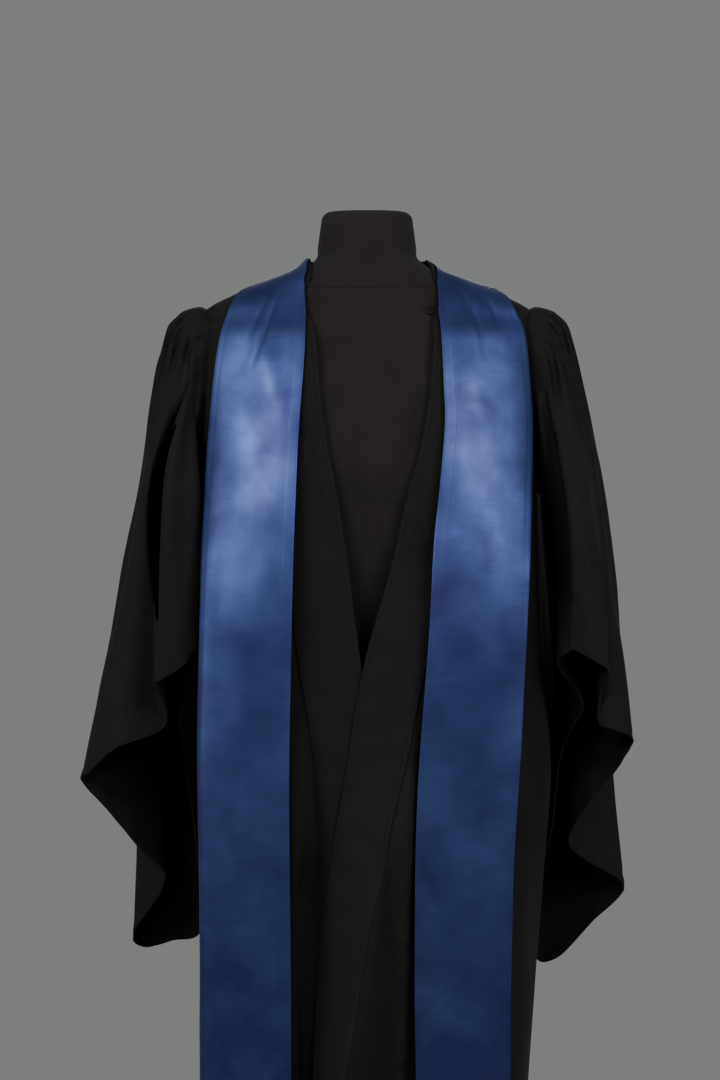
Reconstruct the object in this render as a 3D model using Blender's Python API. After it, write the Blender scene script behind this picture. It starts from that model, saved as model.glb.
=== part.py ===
"""Graduation gown with its stole, worn by a limbless dress form on a stand.

Metres, +Z up. The gown faces -Y, and +X is at the right of someone who looks at its
front. The origin is the centre of the stand's underside. Every piece of cloth is a
thin wall along a surface, and the surface comes from short tables of levels and folds.
"""
import math
from collections import namedtuple

import bpy
from mathutils import Vector

# Driving sizes
WALL = 0.0016            # gown cloth
STOLE_WALL = 0.0014      # two layers of satin
PITCH = 0.0021           # from one layer of cloth to the next
SEAM = 0.0004            # between two pieces at a seam
ARMHOLE_SEAM = 0.0012
GATHERED_SEAM = 0.0020   # where one of them is gathered
BAND_WIDTH = 0.070
BAND_COLUMNS = 4
YOKE_SEAM = 1.430        # height of the front yoke seam
ARMPIT = 1.235
SHOULDER = 1.449         # height of the shoulder's end
HALF_WIDTH = 0.197       # of the body at the armholes
ARMHOLE_FRONT = 66       # turn of the armhole's front edge
ARMHOLE_BACK = 112
YOKE_CORNER = 140        # turn at which the back yoke's edge runs level
BACK_CORNER = 1.425      # height of the armhole's corner with the back's gathers
SQUARE = 0.20            # how far the body's outline is from an ellipse
RIGHT, LEFT = 1, -1      # the two sides, as the front is looked at

# Levels of the worn gown, from the hem up: depth is measured from the middle plane
Level = namedtuple("Level", "height right left front back")
BODY = (
    Level(0.280, 0.200, 0.190, 0.150, 0.215),
    Level(0.450, 0.184, 0.180, 0.142, 0.200),
    Level(0.660, 0.195, 0.180, 0.138, 0.188),
    Level(0.800, 0.206, 0.181, 0.136, 0.178),
    Level(0.920, 0.214, 0.183, 0.133, 0.168),
    Level(1.050, 0.203, 0.185, 0.129, 0.156),
    Level(1.170, 0.199, 0.189, 0.127, 0.146),
    Level(1.270, HALF_WIDTH, 0.194, 0.124, 0.138),
    Level(1.350, HALF_WIDTH, 0.195, 0.114, 0.127),
    Level(1.405, 0.196, 0.194, 0.096, 0.110),
    Level(1.432, 0.193, 0.191, 0.080, 0.094),
    Level(1.447, 0.190, 0.188, 0.071, 0.082),
    Level(1.461, 0.1655, 0.1645, 0.065, 0.073),
    Level(1.476, 0.125, 0.123, 0.062, 0.068),
    Level(1.490, 0.088, 0.087, 0.061, 0.065),
    Level(1.512, 0.0635, 0.0625, 0.060, 0.062),
)

# Opening edges of the two fronts, each measured towards its own side
Opening = namedtuple("Opening", "height right left")
OPENING = (
    Opening(0.280, -0.050, -0.036),
    Opening(0.570, -0.062, -0.038),
    Opening(0.690, -0.0585, -0.034),
    Opening(0.810, -0.047, -0.024),
    Opening(0.930, -0.026, -0.011),
    Opening(1.040, -0.004, 0.007),
    Opening(1.120, 0.019, 0.0175),
    Opening(1.170, 0.032, 0.024),
    Opening(1.230, 0.0449, 0.0335),
    Opening(1.283, 0.0595, 0.044),
    Opening(1.352, 0.071, 0.053),
    Opening(1.406, 0.075, 0.058),
    Opening(1.450, 0.0745, 0.067),
)

# The right front edge turns edge-on lower down: how much of the band's width still shows
Turned = namedtuple("Turned", "height shows")
TURNED_BAND = (
    Turned(0.280, 0.034),
    Turned(0.570, 0.032),
    Turned(0.660, 0.047),
    Turned(0.740, 0.055),
    Turned(0.810, 0.063),
    Turned(0.930, 0.0695),
    Turned(1.464, 0.0700),
)

# Long soft folds of the fronts, across from the middle: a negative depth is a trough
Fold = namedtuple("Fold", "top_height top_across low_across width depth")
FRONT_FOLDS = (
    Fold(1.02, 0.046, 0.036, 0.011, 0.011),
    Fold(1.06, 0.094, 0.086, 0.016, 0.008),
    Fold(1.10, 0.150, 0.140, 0.016, -0.010),
    Fold(1.00, -0.066, -0.050, 0.011, -0.012),
    Fold(1.05, -0.086, -0.078, 0.013, 0.009),
    Fold(1.10, -0.125, -0.118, 0.017, -0.010),
    Fold(1.12, -0.155, -0.150, 0.015, 0.007),
)
FOLD_FOOT = 0.57         # height at which a fold has its low place
LAP_STARTS = (1.16, 1.05)   # heights between which the right front comes to lie on the left
LAP_ACROSS = (0.13, 0.06)   # and how far across its lap fades out
RIDGE_SPREAD = 0.026     # width of the slope behind the turned edge
FRONT_ROWS = (
    0.28, 0.37, 0.46, 0.55, 0.63, 0.71, 0.79, 0.87, 0.95, 1.03, 1.10, 1.17, ARMPIT,
    1.27, 1.33, 1.39, YOKE_SEAM - SEAM,
)
FRONT_COLUMNS = 15       # beside the band

# Lower edge of the yoke, by turn from the centre front; the armhole hangs under its end
YokeEdge = namedtuple("YokeEdge", "turn height")
YOKE_EDGE = (
    YokeEdge(0, YOKE_SEAM),
    YokeEdge(ARMHOLE_FRONT, YOKE_SEAM),
    YokeEdge(76, 1.445),
    YokeEdge(90, SHOULDER),
    YokeEdge(103, 1.443),
    YokeEdge(ARMHOLE_BACK, BACK_CORNER),
    YokeEdge(YOKE_CORNER, 1.385),
    YokeEdge(180, 1.380),
)
NECK_EDGE = {
    RIGHT: (
        YokeEdge(19.3, 1.434),
        YokeEdge(20.1, 1.444),
        YokeEdge(21.6, 1.452),
        YokeEdge(23.8, 1.461),
        YokeEdge(28.9, 1.470),
        YokeEdge(35.2, 1.479),
        YokeEdge(45, 1.486),
        YokeEdge(58.3, 1.4935),
        YokeEdge(74, 1.502),
        YokeEdge(88, 1.507),
        YokeEdge(180, 1.508),
    ),
    LEFT: (
        YokeEdge(16.6, 1.434),
        YokeEdge(17.4, 1.444),
        YokeEdge(18.9, 1.452),
        YokeEdge(20.8, 1.461),
        YokeEdge(25, 1.470),
        YokeEdge(29.6, 1.479),
        YokeEdge(36.6, 1.486),
        YokeEdge(45.1, 1.4935),
        YokeEdge(57.3, 1.502),
        YokeEdge(75, 1.507),
        YokeEdge(180, 1.508),
    ),
}
YOKE_BEND = 30           # turn at which the neck's edge has turned from steep to nearly level

# Armhole, in twelve places from the shoulder forward, down, back and up again
Place = namedtuple("Place", "turn height")
ARMHOLE = (
    Place(90, SHOULDER), Place(76, 1.445),
    Place(ARMHOLE_FRONT, YOKE_SEAM), Place(ARMHOLE_FRONT, 1.390),
    Place(68, 1.330), Place(74, 1.270), Place(90, ARMPIT), Place(106, 1.270),
    Place(112, 1.330), Place(114, 1.390), Place(ARMHOLE_BACK, BACK_CORNER), Place(103, 1.443),
)

# Sleeves: a row for each fold, from the slit's outer edge over the front, the outside and
# the back to the body side and the slit's inner edge. place is where it starts in the
# armhole, and the rest is where it hangs half way down and at the hem.
Hang = namedtuple("Hang", "name place across depth height hem_across hem_depth hem_height")
SLEEVE_LEFT = (
    Hang("slit_outer", 3.1, 0.2465, -0.030, 1.225, 0.2395, -0.0980, 1.0160),
    Hang("notch_valley", 2.6, 0.2520, -0.056, 1.220, 0.2320, -0.0560, 0.9663),
    Hang("outer_front", 2.1, 0.2640, -0.050, 1.210, 0.2878, -0.0620, 0.9415),
    Hang("outer_front_2", 1.6, 0.2690, -0.035, 1.210, 0.3180, -0.0450, 0.9150),
    Hang("outermost", 0.9, 0.2735, -0.012, 1.200, 0.3312, -0.0150, 0.8988),
    Hang("outer_back", 0.2, 0.2735, 0.010, 1.190, 0.3010, 0.0060, 0.8600),
    Hang("second_lobe", -0.5, 0.2680, 0.027, 1.180, 0.2686, 0.0200, 0.8172),
    Hang("deep_valley", -1.1, 0.2540, 0.042, 1.170, 0.2380, 0.0430, 0.7762),
    Hang("third_lobe", -1.8, 0.2630, 0.062, 1.160, 0.2782, 0.0760, 0.7112),
    Hang("lobe_back", -2.6, 0.2500, 0.084, 1.150, 0.2702, 0.1000, 0.6880),
    Hang("point", -3.4, 0.2300, 0.094, 1.140, 0.2360, 0.1130, 0.6940),
    Hang("back_inner", -4.2, 0.1880, 0.088, 1.130, 0.2010, 0.1130, 0.7062),
    Hang("inner_back", -5.0, 0.1930, 0.062, 1.120, 0.2030, 0.0750, 0.7900),
    Hang("inner_mid", -5.7, 0.1990, 0.032, 1.110, 0.2120, 0.0340, 0.9000),
    Hang("inner_fold", -6.4, 0.2030, -0.004, 1.110, 0.2190, -0.0100, 0.9678),
    Hang("inner_front", -7.2, 0.2020, -0.042, 1.140, 0.2040, -0.0520, 1.0037),
    Hang("front_corner", -8.0, 0.1875, -0.085, 1.220, 0.1930, -0.0880, 1.0595),
    Hang("front_fold", -8.4, 0.2130, -0.099, 1.230, 0.2070, -0.0990, 1.0384),
    Hang("slit_inner", -8.8, 0.2310, -0.096, 1.235, 0.2372, -0.1000, 1.0190),
)
SLEEVE_RIGHT = (
    Hang("slit_outer", 3.1, 0.2262, -0.096, 1.220, 0.2341, -0.1010, 1.0556),
    Hang("front_flat", 2.6, 0.2430, -0.100, 1.210, 0.2560, -0.1080, 1.0435),
    Hang("front_ridge", 2.1, 0.2570, -0.088, 1.200, 0.2730, -0.0950, 1.0293),
    Hang("front_valley", 1.7, 0.2620, -0.064, 1.200, 0.2680, -0.0670, 1.0050),
    Hang("front_valley_2", 1.3, 0.2660, -0.050, 1.200, 0.2655, -0.0550, 0.9710),
    Hang("outer_front", 0.8, 0.2740, -0.040, 1.200, 0.2831, -0.0600, 0.9623),
    Hang("outermost", 0.2, 0.2815, -0.014, 1.200, 0.3070, -0.0380, 0.9480),
    Hang("outer_back", -0.4, 0.2790, 0.010, 1.190, 0.2860, 0.0000, 0.9050),
    Hang("second_valley", -0.8, 0.2700, 0.024, 1.180, 0.2580, 0.0160, 0.8670),
    Hang("deep_valley", -1.2, 0.2570, 0.036, 1.170, 0.2380, 0.0320, 0.8219),
    Hang("third_front", -1.6, 0.2640, 0.050, 1.160, 0.2610, 0.0430, 0.7994),
    Hang("third_lobe", -2.1, 0.2700, 0.066, 1.150, 0.3055, 0.0600, 0.7660),
    Hang("lobe_back", -2.8, 0.2520, 0.086, 1.140, 0.2700, 0.0900, 0.7185),
    Hang("point", -3.5, 0.2320, 0.095, 1.130, 0.2305, 0.1100, 0.6730),
    Hang("back_inner", -4.2, 0.2050, 0.090, 1.120, 0.2040, 0.1180, 0.6787),
    Hang("inner_back", -4.9, 0.2070, 0.062, 1.110, 0.2110, 0.0760, 0.7800),
    Hang("inner_mid", -5.5, 0.2100, 0.036, 1.110, 0.2210, 0.0380, 0.8600),
    Hang("inner_fold", -6.1, 0.2120, 0.006, 1.110, 0.2270, 0.0000, 0.9300),
    Hang("inner_fold_2", -6.7, 0.2150, -0.018, 1.120, 0.2400, -0.0300, 0.9650),
    Hang("inner_front", -7.3, 0.2150, -0.030, 1.130, 0.2480, -0.0520, 0.9950),
    Hang("front_corner", -8.1, 0.2190, -0.048, 1.160, 0.2164, -0.0800, 1.0377),
    Hang("slit_inner", -8.7, 0.2320, -0.066, 1.200, 0.2285, -0.0990, 1.0530),
)
SLIT = (0.28, 0.84)      # part of the way down at which the slit starts and ends
SLIT_MORE = 1            # more columns that the left slit takes, past its fold
SLEEVE_ROWS = (0.0, 0.02, 0.05, 0.09, 0.13, 0.20, 0.28, 0.39, 0.52, 0.68, 0.84, 1.0)
SLEEVE_STATIONS = (0.0, 0.02, 0.05, 0.13, 0.5, 1.0)   # armhole, puff, crown, head, middle, hem
FOLD_STEPS = 3           # columns for each fold of a sleeve
ARMHOLE_INSET = 0.020    # part of the way to the armhole's middle at which a sleeve starts
HEAD_OUT, HEAD_OUT_LOW = 0.047, 0.14     # how far the head stands out, and what part of it low down
HEAD_DROP, HEAD_DROP_LOW = 0.027, 0.3
CROWN_OUT, CROWN_DROP = 0.62, 0.12       # parts of these that the crown has
PUFF_OUT, PUFF_RISE = 0.2, 0.0035        # the gathers' puff beside the seam
HEAD_DEEPER = 0.2        # how much deeper than the armhole the head is
HEAD_GATHERS = 1.35      # gathers for each place of the armhole
HEAD_GATHER_DEPTH = 0.0035

BACK_GATHERS = 20
BACK_ROWS = (            # height, and how far from there to the yoke's edge
    (0.28, 0.0), (0.60, 0.0), (0.92, 0.0), (ARMPIT, 0.0),
    (ARMPIT, 0.187), (ARMPIT, 0.507), (ARMPIT, 0.827), (ARMPIT, 0.94), (ARMPIT, 1.0),
)
BACK_GATHER_DEPTH = 0.010
GATHER_COLUMNS = 4       # for each gather of the back

# Stole, round the neck: turn and height of its inner and outer edge, from the centre back
Wrap = namedtuple("Wrap", "turn height outer_turn outer_height")
STOLE_BEHIND = (
    Wrap(179.8, 1.507, 179.8, 1.410),
    Wrap(160, 1.507, 163, 1.411),
    Wrap(138, 1.507, 146, 1.419),
    Wrap(116, 1.507, 127, 1.438),
)
STOLE_RIDGE = {
    RIGHT: (Wrap(101, 1.504, 110, 1.4570), Wrap(91, 1.499, 94, 1.4655)),
    LEFT: (Wrap(101, 1.507, 109, 1.4590), Wrap(90, 1.507, 93, 1.4725)),
}
# over the shoulder: how far across and how high its edges are
Over = namedtuple("Over", "across height outer_across outer_height")
STOLE_SHOULDER = {
    RIGHT: (
        Over(0.0780, 1.494, 0.1400, 1.4665),
        Over(0.0787, 1.487, 0.1480, 1.4635),
        Over(0.0795, 1.478, 0.1545, 1.4600),
        Over(0.0803, 1.468, 0.1585, 1.4560),
        Over(0.0806, 1.457, 0.1625, 1.4510),
    ),
    LEFT: (
        Over(0.0655, 1.503, 0.1270, 1.4728),
        Over(0.0668, 1.495, 0.1360, 1.4680),
        Over(0.0692, 1.485, 0.1440, 1.4630),
        Over(0.0710, 1.472, 0.1480, 1.4575),
        Over(0.0708, 1.458, 0.1525, 1.4510),
    ),
}
STOLE_WRAPS = len(STOLE_BEHIND) + len(STOLE_RIDGE[LEFT]) + len(STOLE_SHOULDER[LEFT])
# and in front: where its edges hang, towards each side
Strap = namedtuple("Strap", "height right_inner right_outer left_inner left_outer")
STOLE_FRONT = (
    Strap(1.444, 0.0808, 0.1655, 0.0700, 0.1560),
    Strap(1.424, 0.0820, 0.1738, 0.0695, 0.1620),
    Strap(1.394, 0.0838, 0.1785, 0.0700, 0.1675),
    Strap(1.352, 0.0850, 0.1810, 0.0725, 0.1715),
    Strap(1.310, 0.0860, 0.1828, 0.0755, 0.1745),
    Strap(1.240, 0.0800, 0.1805, 0.0786, 0.1780),
    Strap(1.172, 0.0730, 0.1780, 0.0809, 0.1800),
    Strap(1.069, 0.0674, 0.1730, 0.0831, 0.1814),
    Strap(0.897, 0.0550, 0.1646, 0.0854, 0.1853),
    Strap(0.681, 0.0517, 0.1560, 0.0831, 0.1842),
    Strap(0.573, 0.0528, 0.1540, 0.0825, 0.1835),
    Strap(0.400, 0.0530, 0.1530, 0.0820, 0.1830),
)
STOLE_ON_YOKE = 0.0042   # from the yoke's middle surface to the stole's
STOLE_ON_FRONT = 0.0066
HANG_CLEAR = 0.026       # how far the hanging part stands off the gown's front
HANG_TOP, HANG_FREE = 1.40, 1.06
HANG_CURL = 0.022        # how far the outer edge lies behind the inner one

# Dress form and stand
Ring = namedtuple("Ring", "height across front back")
FORM = (
    Ring(0.800, 0.150, 0.098, 0.104),
    Ring(0.808, 0.160, 0.106, 0.112),
    Ring(0.860, 0.168, 0.112, 0.122),
    Ring(0.930, 0.168, 0.108, 0.122),
    Ring(1.010, 0.150, 0.098, 0.104),
    Ring(1.080, 0.140, 0.096, 0.096),
    Ring(1.160, 0.150, 0.106, 0.106),
    Ring(1.250, 0.168, 0.114, 0.120),
    Ring(1.330, 0.180, 0.112, 0.120),
)
# The form's shoulders lie under the gown: how far below the cloth at each height
Under = namedtuple("Under", "height clear")
FORM_SHOULDERS = (
    Under(1.385, 0.0120),
    Under(1.410, 0.0080),
    Under(1.430, 0.0050),
    Under(1.444, 0.0040),
    Under(1.454, 0.0020),
    Under(1.464, 0.0013),
    Under(1.474, 0.0010),
    Under(1.484, 0.0011),
    Under(1.494, 0.0012),
)
FORM_SHOULDER_TURNS = 30
NECK = (
    Ring(1.507, 0.0600, 0.0570, 0.0585),
    Ring(1.522, 0.0575, 0.0550, 0.0560),
    Ring(1.548, 0.0540, 0.0535, 0.0535),
    Ring(1.556, 0.0525, 0.0515, 0.0515),
    Ring(1.560, 0.0490, 0.0470, 0.0470),
)
NUB_RADIUS, NUB_HEIGHT = 0.0055, 0.004
POLE_RADIUS = 0.0175
BASE_RADIUS, BASE_EDGE, BASE_TOP = 0.175, 0.008, 0.022
BASE_CROWN = (0.105, 0.014)   # radius and height at which the base's slope changes
COLLAR_RADIUS, COLLAR_TOP = 0.030, 0.055
COLLAR_FOOT = 0.004
CHAMFER = 0.0015
LOOP_CENTRE = (0.0720, 1.4440)
LOOP_STEPS, LOOP_SIDES = 14, 6
LOOP_HALF_WIDTH, LOOP_HALF_HEIGHT, LOOP_THREAD = 0.0042, 0.0052, 0.0009

BLACK_CLOTH = ("black_cloth", (0.012, 0.012, 0.014), 0.85, 0.0)
BLUE_SATIN = ("blue_satin", (0.020, 0.075, 0.26), 0.38, 0.0)
JERSEY = ("black_jersey", (0.014, 0.014, 0.015), 0.95, 0.0)
STEEL = ("black_steel", (0.03, 0.03, 0.032), 0.45, 0.6)


def smooth(stations, rows, at):
    """Values at a station on smooth curves through the rows; stations rise."""
    last = len(stations) - 1
    k = max(i for i in range(last) if i == 0 or stations[i] <= at)
    span = stations[k + 1] - stations[k]
    f = min(max((at - stations[k]) / span, 0.0), 1.0)

    def slope(i, c):
        a, b = max(i - 1, 0), min(i + 1, last)
        return (rows[b][c] - rows[a][c]) / (stations[b] - stations[a]) * span

    weights = (2 * f**3 - 3 * f**2 + 1, f**3 - 2 * f**2 + f, 3 * f**2 - 2 * f**3, f**3 - f**2)
    return [
        weights[0] * rows[k][c] + weights[1] * slope(k, c)
        + weights[2] * rows[k + 1][c] + weights[3] * slope(k + 1, c)
        for c in range(len(rows[0]))
    ]


def straight(table, at):
    """Second column of a table at a value of its first, which rises."""
    for low, high in zip(table, table[1:]):
        if at <= high[0]:
            break
    f = min(max((at - low[0]) / (high[0] - low[0]), 0.0), 1.0)
    return low[1] + f * (high[1] - low[1])


def ease(start, end, value):
    """0 at start, 1 at end, soft at both."""
    f = min(max((value - start) / (end - start), 0.0), 1.0)
    return f * f * (3 - 2 * f)


def level(t):
    """The body's level at row t of its table, between rows too."""
    return Level(*smooth(range(len(BODY)), BODY, t))


def row_at(height):
    """Row of the body's table at a height."""
    low, high = 0.0, len(BODY) - 1.0
    for _ in range(24):
        middle = (low + high) / 2
        if level(middle).height < height:
            low = middle
        else:
            high = middle
    return (low + high) / 2


def outline(turn, right, left, front, back, height):
    """Point of a level outline, turn degrees from the centre front towards the right."""
    s, c = math.sin(math.radians(turn)), math.cos(math.radians(turn))
    half = right if s > 0 else left
    depth = front if c > 0 else back
    return Vector((half * s * (1 + SQUARE * c * c), -depth * c * (1 + SQUARE * s * s), height))


def on_body(turn, t, out=0.0):
    """Point of the gown's surface, moved out by a distance."""
    def point(turn, t):
        at = level(t)
        return outline(turn, at.right, at.left, at.front, at.back, at.height)

    if not out:
        return point(turn, t)
    step = 0.02
    low, high = max(t - step, 0), min(t + step, len(BODY) - 1)
    around = point(turn + 1, t) - point(turn - 1, t)
    up = point(turn, high) - point(turn, low)
    return point(turn, t) + around.cross(up).normalized() * out


def turn_at(side, across, t):
    """Turn, towards its own side, at which the surface is that far across."""
    at = level(t)
    half = at.right if side == RIGHT else at.left
    low, high = -90.0, 90.0
    for _ in range(24):
        middle = (low + high) / 2
        if outline(middle, half, half, 1, 1, 0).x < across:
            low = middle
        else:
            high = middle
    return (low + high) / 2


def opening(side, height):
    """Where a front's opening edge lies, towards its own side."""
    heights = [row.height for row in OPENING]
    edges = smooth(heights, [row[1:] for row in OPENING], height)
    return edges[0] if side == RIGHT else edges[1]


def band_shows(side, height):
    """Width of the band that shows from the front."""
    return straight(TURNED_BAND, height) if side == RIGHT else BAND_WIDTH


def front_relief(side, across, height):
    """How far a front stands forward of the plain surface: its lap, turned edge and folds."""
    relief = 0.0
    if side == RIGHT:
        edge = opening(side, height)
        shows = band_shows(side, height)
        relief += 2 * PITCH * ease(*LAP_STARTS, height) * ease(*LAP_ACROSS, across)
        ridge = math.sqrt(max(BAND_WIDTH**2 - shows**2, 0.0))
        past = across - edge - shows
        relief += ridge * (1 + past / shows if past < 0 else math.exp(-(past / RIDGE_SPREAD) ** 2))
    for fold in FRONT_FOLDS:
        if side == LEFT and fold.low_across > 0:
            continue
        f = (fold.top_height - height) / (fold.top_height - FOLD_FOOT)
        centre = fold.top_across + (fold.low_across - fold.top_across) * min(f, 1.0)
        grown = ease(0.0, 0.45, f)
        relief += fold.depth * grown * math.exp(-((side * across - centre) / fold.width) ** 2)
    return relief


def on_front(side, turn, t, out=0.0):
    """Point of a front, turn degrees towards its own side, moved out by a distance."""
    def point(turn, t):
        plain = on_body(side * turn, t)
        plain.y -= front_relief(side, side * plain.x, plain.z)
        return plain

    if not out:
        return point(turn, t)
    around = point(turn + 1, t) - point(turn - 1, t)
    up = point(turn, t + 0.02) - point(turn, max(t - 0.02, 0))
    return point(turn, t) + side * around.cross(up).normalized() * out


def armhole(place):
    """Turn and height at a place of the armhole, which is numbered like a clock."""
    whole = math.floor(place)
    a, b = ARMHOLE[whole % 12], ARMHOLE[(whole + 1) % 12]
    f = place - whole
    return a.turn + f * (b.turn - a.turn), a.height + f * (b.height - a.height)


def armhole_turn(height, back):
    """Turn of the armhole's front or back edge at a height; 90 under the arm."""
    edge = ARMHOLE[6:11] if back else ARMHOLE[6:1:-1]
    if height <= ARMPIT:
        return 90.0
    return straight([(place.height, place.turn) for place in edge], height)


def seam_turn(height):
    """Turn that a seam's gap takes at the side, or at the armhole above it."""
    gap = SEAM if height <= ARMPIT else ARMHOLE_SEAM
    return math.degrees(gap / HALF_WIDTH)


def paint(name, colour, roughness, metallic):
    """Material of one plain finish."""
    material = bpy.data.materials.get(name)
    if material is None:
        material = bpy.data.materials.new(name)
        material.use_nodes = True
        shader = material.node_tree.nodes["Principled BSDF"]
        shader.inputs["Base Color"].default_value = (*colour, 1)
        shader.inputs["Roughness"].default_value = roughness
        shader.inputs["Metallic"].default_value = metallic
    return material


def new_object(name, points, faces, finish):
    """Object from points and faces, without the points that no face uses."""
    used = sorted({i for face in faces for i in face})
    index = {old: new for new, old in enumerate(used)}
    mesh = bpy.data.meshes.new(name)
    mesh.from_pydata([points[i] for i in used], [], [[index[i] for i in face] for face in faces])
    mesh.materials.append(paint(*finish))
    mesh.shade_smooth()
    made = bpy.data.objects.new(name, mesh)
    bpy.context.scene.collection.objects.link(made)
    return made


def cloth(name, grid, wall, finish, around=False, left_open=None):
    """Wall of cloth along a grid of points, whose rows rise and columns run to the right."""
    columns = len(grid[0])
    faces = []
    for r in range(len(grid) - 1):
        for c in range(columns if around else columns - 1):
            if left_open and left_open(r, c):
                continue
            d = (c + 1) % columns
            low, high = r * columns, (r + 1) * columns
            faces.append((low + c, low + d, high + d, high + c))
    made = new_object(name, [point for row in grid for point in row], faces, finish)
    solidify = made.modifiers.new("wall", "SOLIDIFY")
    solidify.thickness = wall
    solidify.offset = 0
    return made


def spread(start, end, count):
    """Evenly spaced numbers, both ends among them."""
    return [start + (end - start) * i / (count - 1) for i in range(count)]


def facing_out(side, grid):
    """The grid with its columns running to the right on either side."""
    return grid if side == RIGHT else [row[::-1] for row in grid]


def yoke_turns(side):
    """Turns of the yoke's columns, from its front edge to the centre back."""
    turns = spread(NECK_EDGE[side][0].turn, YOKE_BEND, 6)
    turns += spread(YOKE_BEND, ARMHOLE_FRONT, 7)[1:] + spread(ARMHOLE_FRONT, ARMHOLE_BACK, 10)[1:]
    return turns + spread(ARMHOLE_BACK, YOKE_CORNER, 6)[1:] + spread(YOKE_CORNER, 180, 8)[1:]


def make_yoke():
    columns = [(RIGHT, turn) for turn in yoke_turns(RIGHT)]
    columns += [(LEFT, turn) for turn in yoke_turns(LEFT)[-2::-1]]
    grid = []
    for f in spread(0.0, 1.0, 6):
        row = []
        for side, turn in columns:
            low = row_at(straight(YOKE_EDGE, turn) + SEAM)
            high = row_at(straight(NECK_EDGE[side], turn))
            row.append(on_body(side * turn, low + (high - low) * f))
        grid.append(row)
    return cloth("yoke", grid, WALL, BLACK_CLOTH)


def front_grid(side, out=0.0):
    """Points of a front: the first columns lie under its band, and the rest reach the side."""
    grid = []
    for height in FRONT_ROWS:
        t = row_at(height)
        inner = opening(side, height)
        outer = inner + band_shows(side, height)
        under_band = [turn_at(side, across, t) for across in spread(inner, outer, BAND_COLUMNS)]
        end = armhole_turn(height, back=False) - seam_turn(height)
        rest = spread(under_band[-1], end, FRONT_COLUMNS)[1:]
        grid.append([on_front(side, turn, t, out) for turn in under_band + rest])
    return grid


def make_front(side, name):
    return cloth(name, facing_out(side, front_grid(side)), WALL, BLACK_CLOTH)


def make_band(side, name):
    grid = [row[:BAND_COLUMNS] for row in front_grid(side, PITCH)]
    return cloth(name, facing_out(side, grid), WALL, BLACK_CLOTH)


def make_back():
    width = 360 - 2 * ARMHOLE_BACK
    corner = (YOKE_CORNER - ARMHOLE_BACK) / width
    columns = GATHER_COLUMNS * BACK_GATHERS
    count = round(columns * corner)
    parts = spread(0.0, corner, count + 1)
    parts += spread(corner, 1 - corner, columns - 2 * count + 1)[1:]
    parts += spread(1 - corner, 1.0, count + 1)[1:]
    grid = []
    for height, fraction in BACK_ROWS:
        row = []
        for u in parts:
            top_turn = ARMHOLE_BACK + width * u
            top = straight(YOKE_EDGE, min(top_turn, 360 - top_turn)) - GATHERED_SEAM
            at = height + (top - height) * fraction
            side_turn = armhole_turn(min(at, BACK_CORNER), back=True) + seam_turn(at)
            turn = side_turn + (360 - 2 * side_turn) * u
            grown = 0.25 + 0.75 * ease(1.30, 0.50, at)
            depth = BACK_GATHER_DEPTH * grown * ease(0.0, 0.045, top - at)
            depth *= ease(0.10, 0.28, u) * ease(0.10, 0.28, 1 - u)
            uneven = u + 0.006 * math.sin(17 * u) + 0.004 * math.sin(41 * u)
            wave = math.cos(2 * math.pi * BACK_GATHERS * uneven)
            row.append(on_body(turn, row_at(at), depth * (1 + wave)))
        grid.append(row)
    return cloth("back_panel", grid, WALL, BLACK_CLOTH)


def sleeve_path(side, numbers, f):
    """Point a part f of the way down one fold of a sleeve."""
    place, *hang = numbers
    turn, height = armhole(place)
    centre_turn, centre_height = 90, (SHOULDER + ARMPIT) / 2
    turn += (centre_turn - turn) * ARMHOLE_INSET
    height += (centre_height - height) * ARMHOLE_INSET
    ring = on_body(side * turn, row_at(height))
    lift = (ring.z - ARMPIT) / (SHOULDER - ARMPIT)
    head_out = HEAD_OUT * (HEAD_OUT_LOW + (1 - HEAD_OUT_LOW) * lift**3)
    head_drop = HEAD_DROP * (HEAD_DROP_LOW + (1 - HEAD_DROP_LOW) * lift)
    head = ring + Vector((side * head_out, HEAD_DEEPER * ring.y, -head_drop))
    middle = (side * hang[0], hang[1], hang[2])
    hem = (side * hang[3], hang[4], hang[5])
    crown = ring.lerp(head, CROWN_OUT)
    crown.z = ring.z - CROWN_DROP * head_drop
    puff = ring.lerp(head, PUFF_OUT)
    puff.z = ring.z + PUFF_RISE * lift**3
    return Vector(smooth(SLEEVE_STATIONS, (ring, puff, crown, head, middle, hem), f)), lift


def make_sleeve(side, name, folds):
    """Tube of cloth from the armhole to the hem, open along the slit."""
    rows = [fold[1:] for fold in folds]
    before = [(rows[-1][0] + 12, *rows[-1][1:])]
    after = [(row[0] - 12, *row[1:]) for row in rows[:2]]
    ringed = before + rows + after
    stations = list(range(-1, len(rows) + 2))
    count = FOLD_STEPS * len(rows)
    columns = [smooth(stations, ringed, i / FOLD_STEPS) for i in range(count)]
    slit_first = FOLD_STEPS * (len(rows) - 1)
    grid = []
    for f in reversed(SLEEVE_ROWS):
        pairs = [sleeve_path(side, numbers, f) for numbers in columns]
        centre = sum((point for point, _ in pairs), Vector()) / len(pairs)
        row = []
        for numbers, (point, lift) in zip(columns, pairs):
            away = point - centre
            away.z = 0
            fades = ease(0.0, 0.06, f) * ease(0.45, 0.13, f) * max(lift, 0.0) ** 2
            wave = math.cos(2 * math.pi * HEAD_GATHERS * numbers[0])
            row.append(point + away.normalized() * HEAD_GATHER_DEPTH * fades * wave)
        grid.append(row)
    slit_rows = [i for i, f in enumerate(reversed(SLEEVE_ROWS)) if SLIT[0] < f <= SLIT[1]]

    def in_slit(r, c):
        if side == RIGHT:
            return r in slit_rows and c >= slit_first
        return r in slit_rows and (c >= count - 1 - SLIT_MORE or c < FOLD_STEPS - 1)

    return cloth(name, facing_out(side, grid), WALL, BLACK_CLOTH, around=True, left_open=in_slit)


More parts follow.
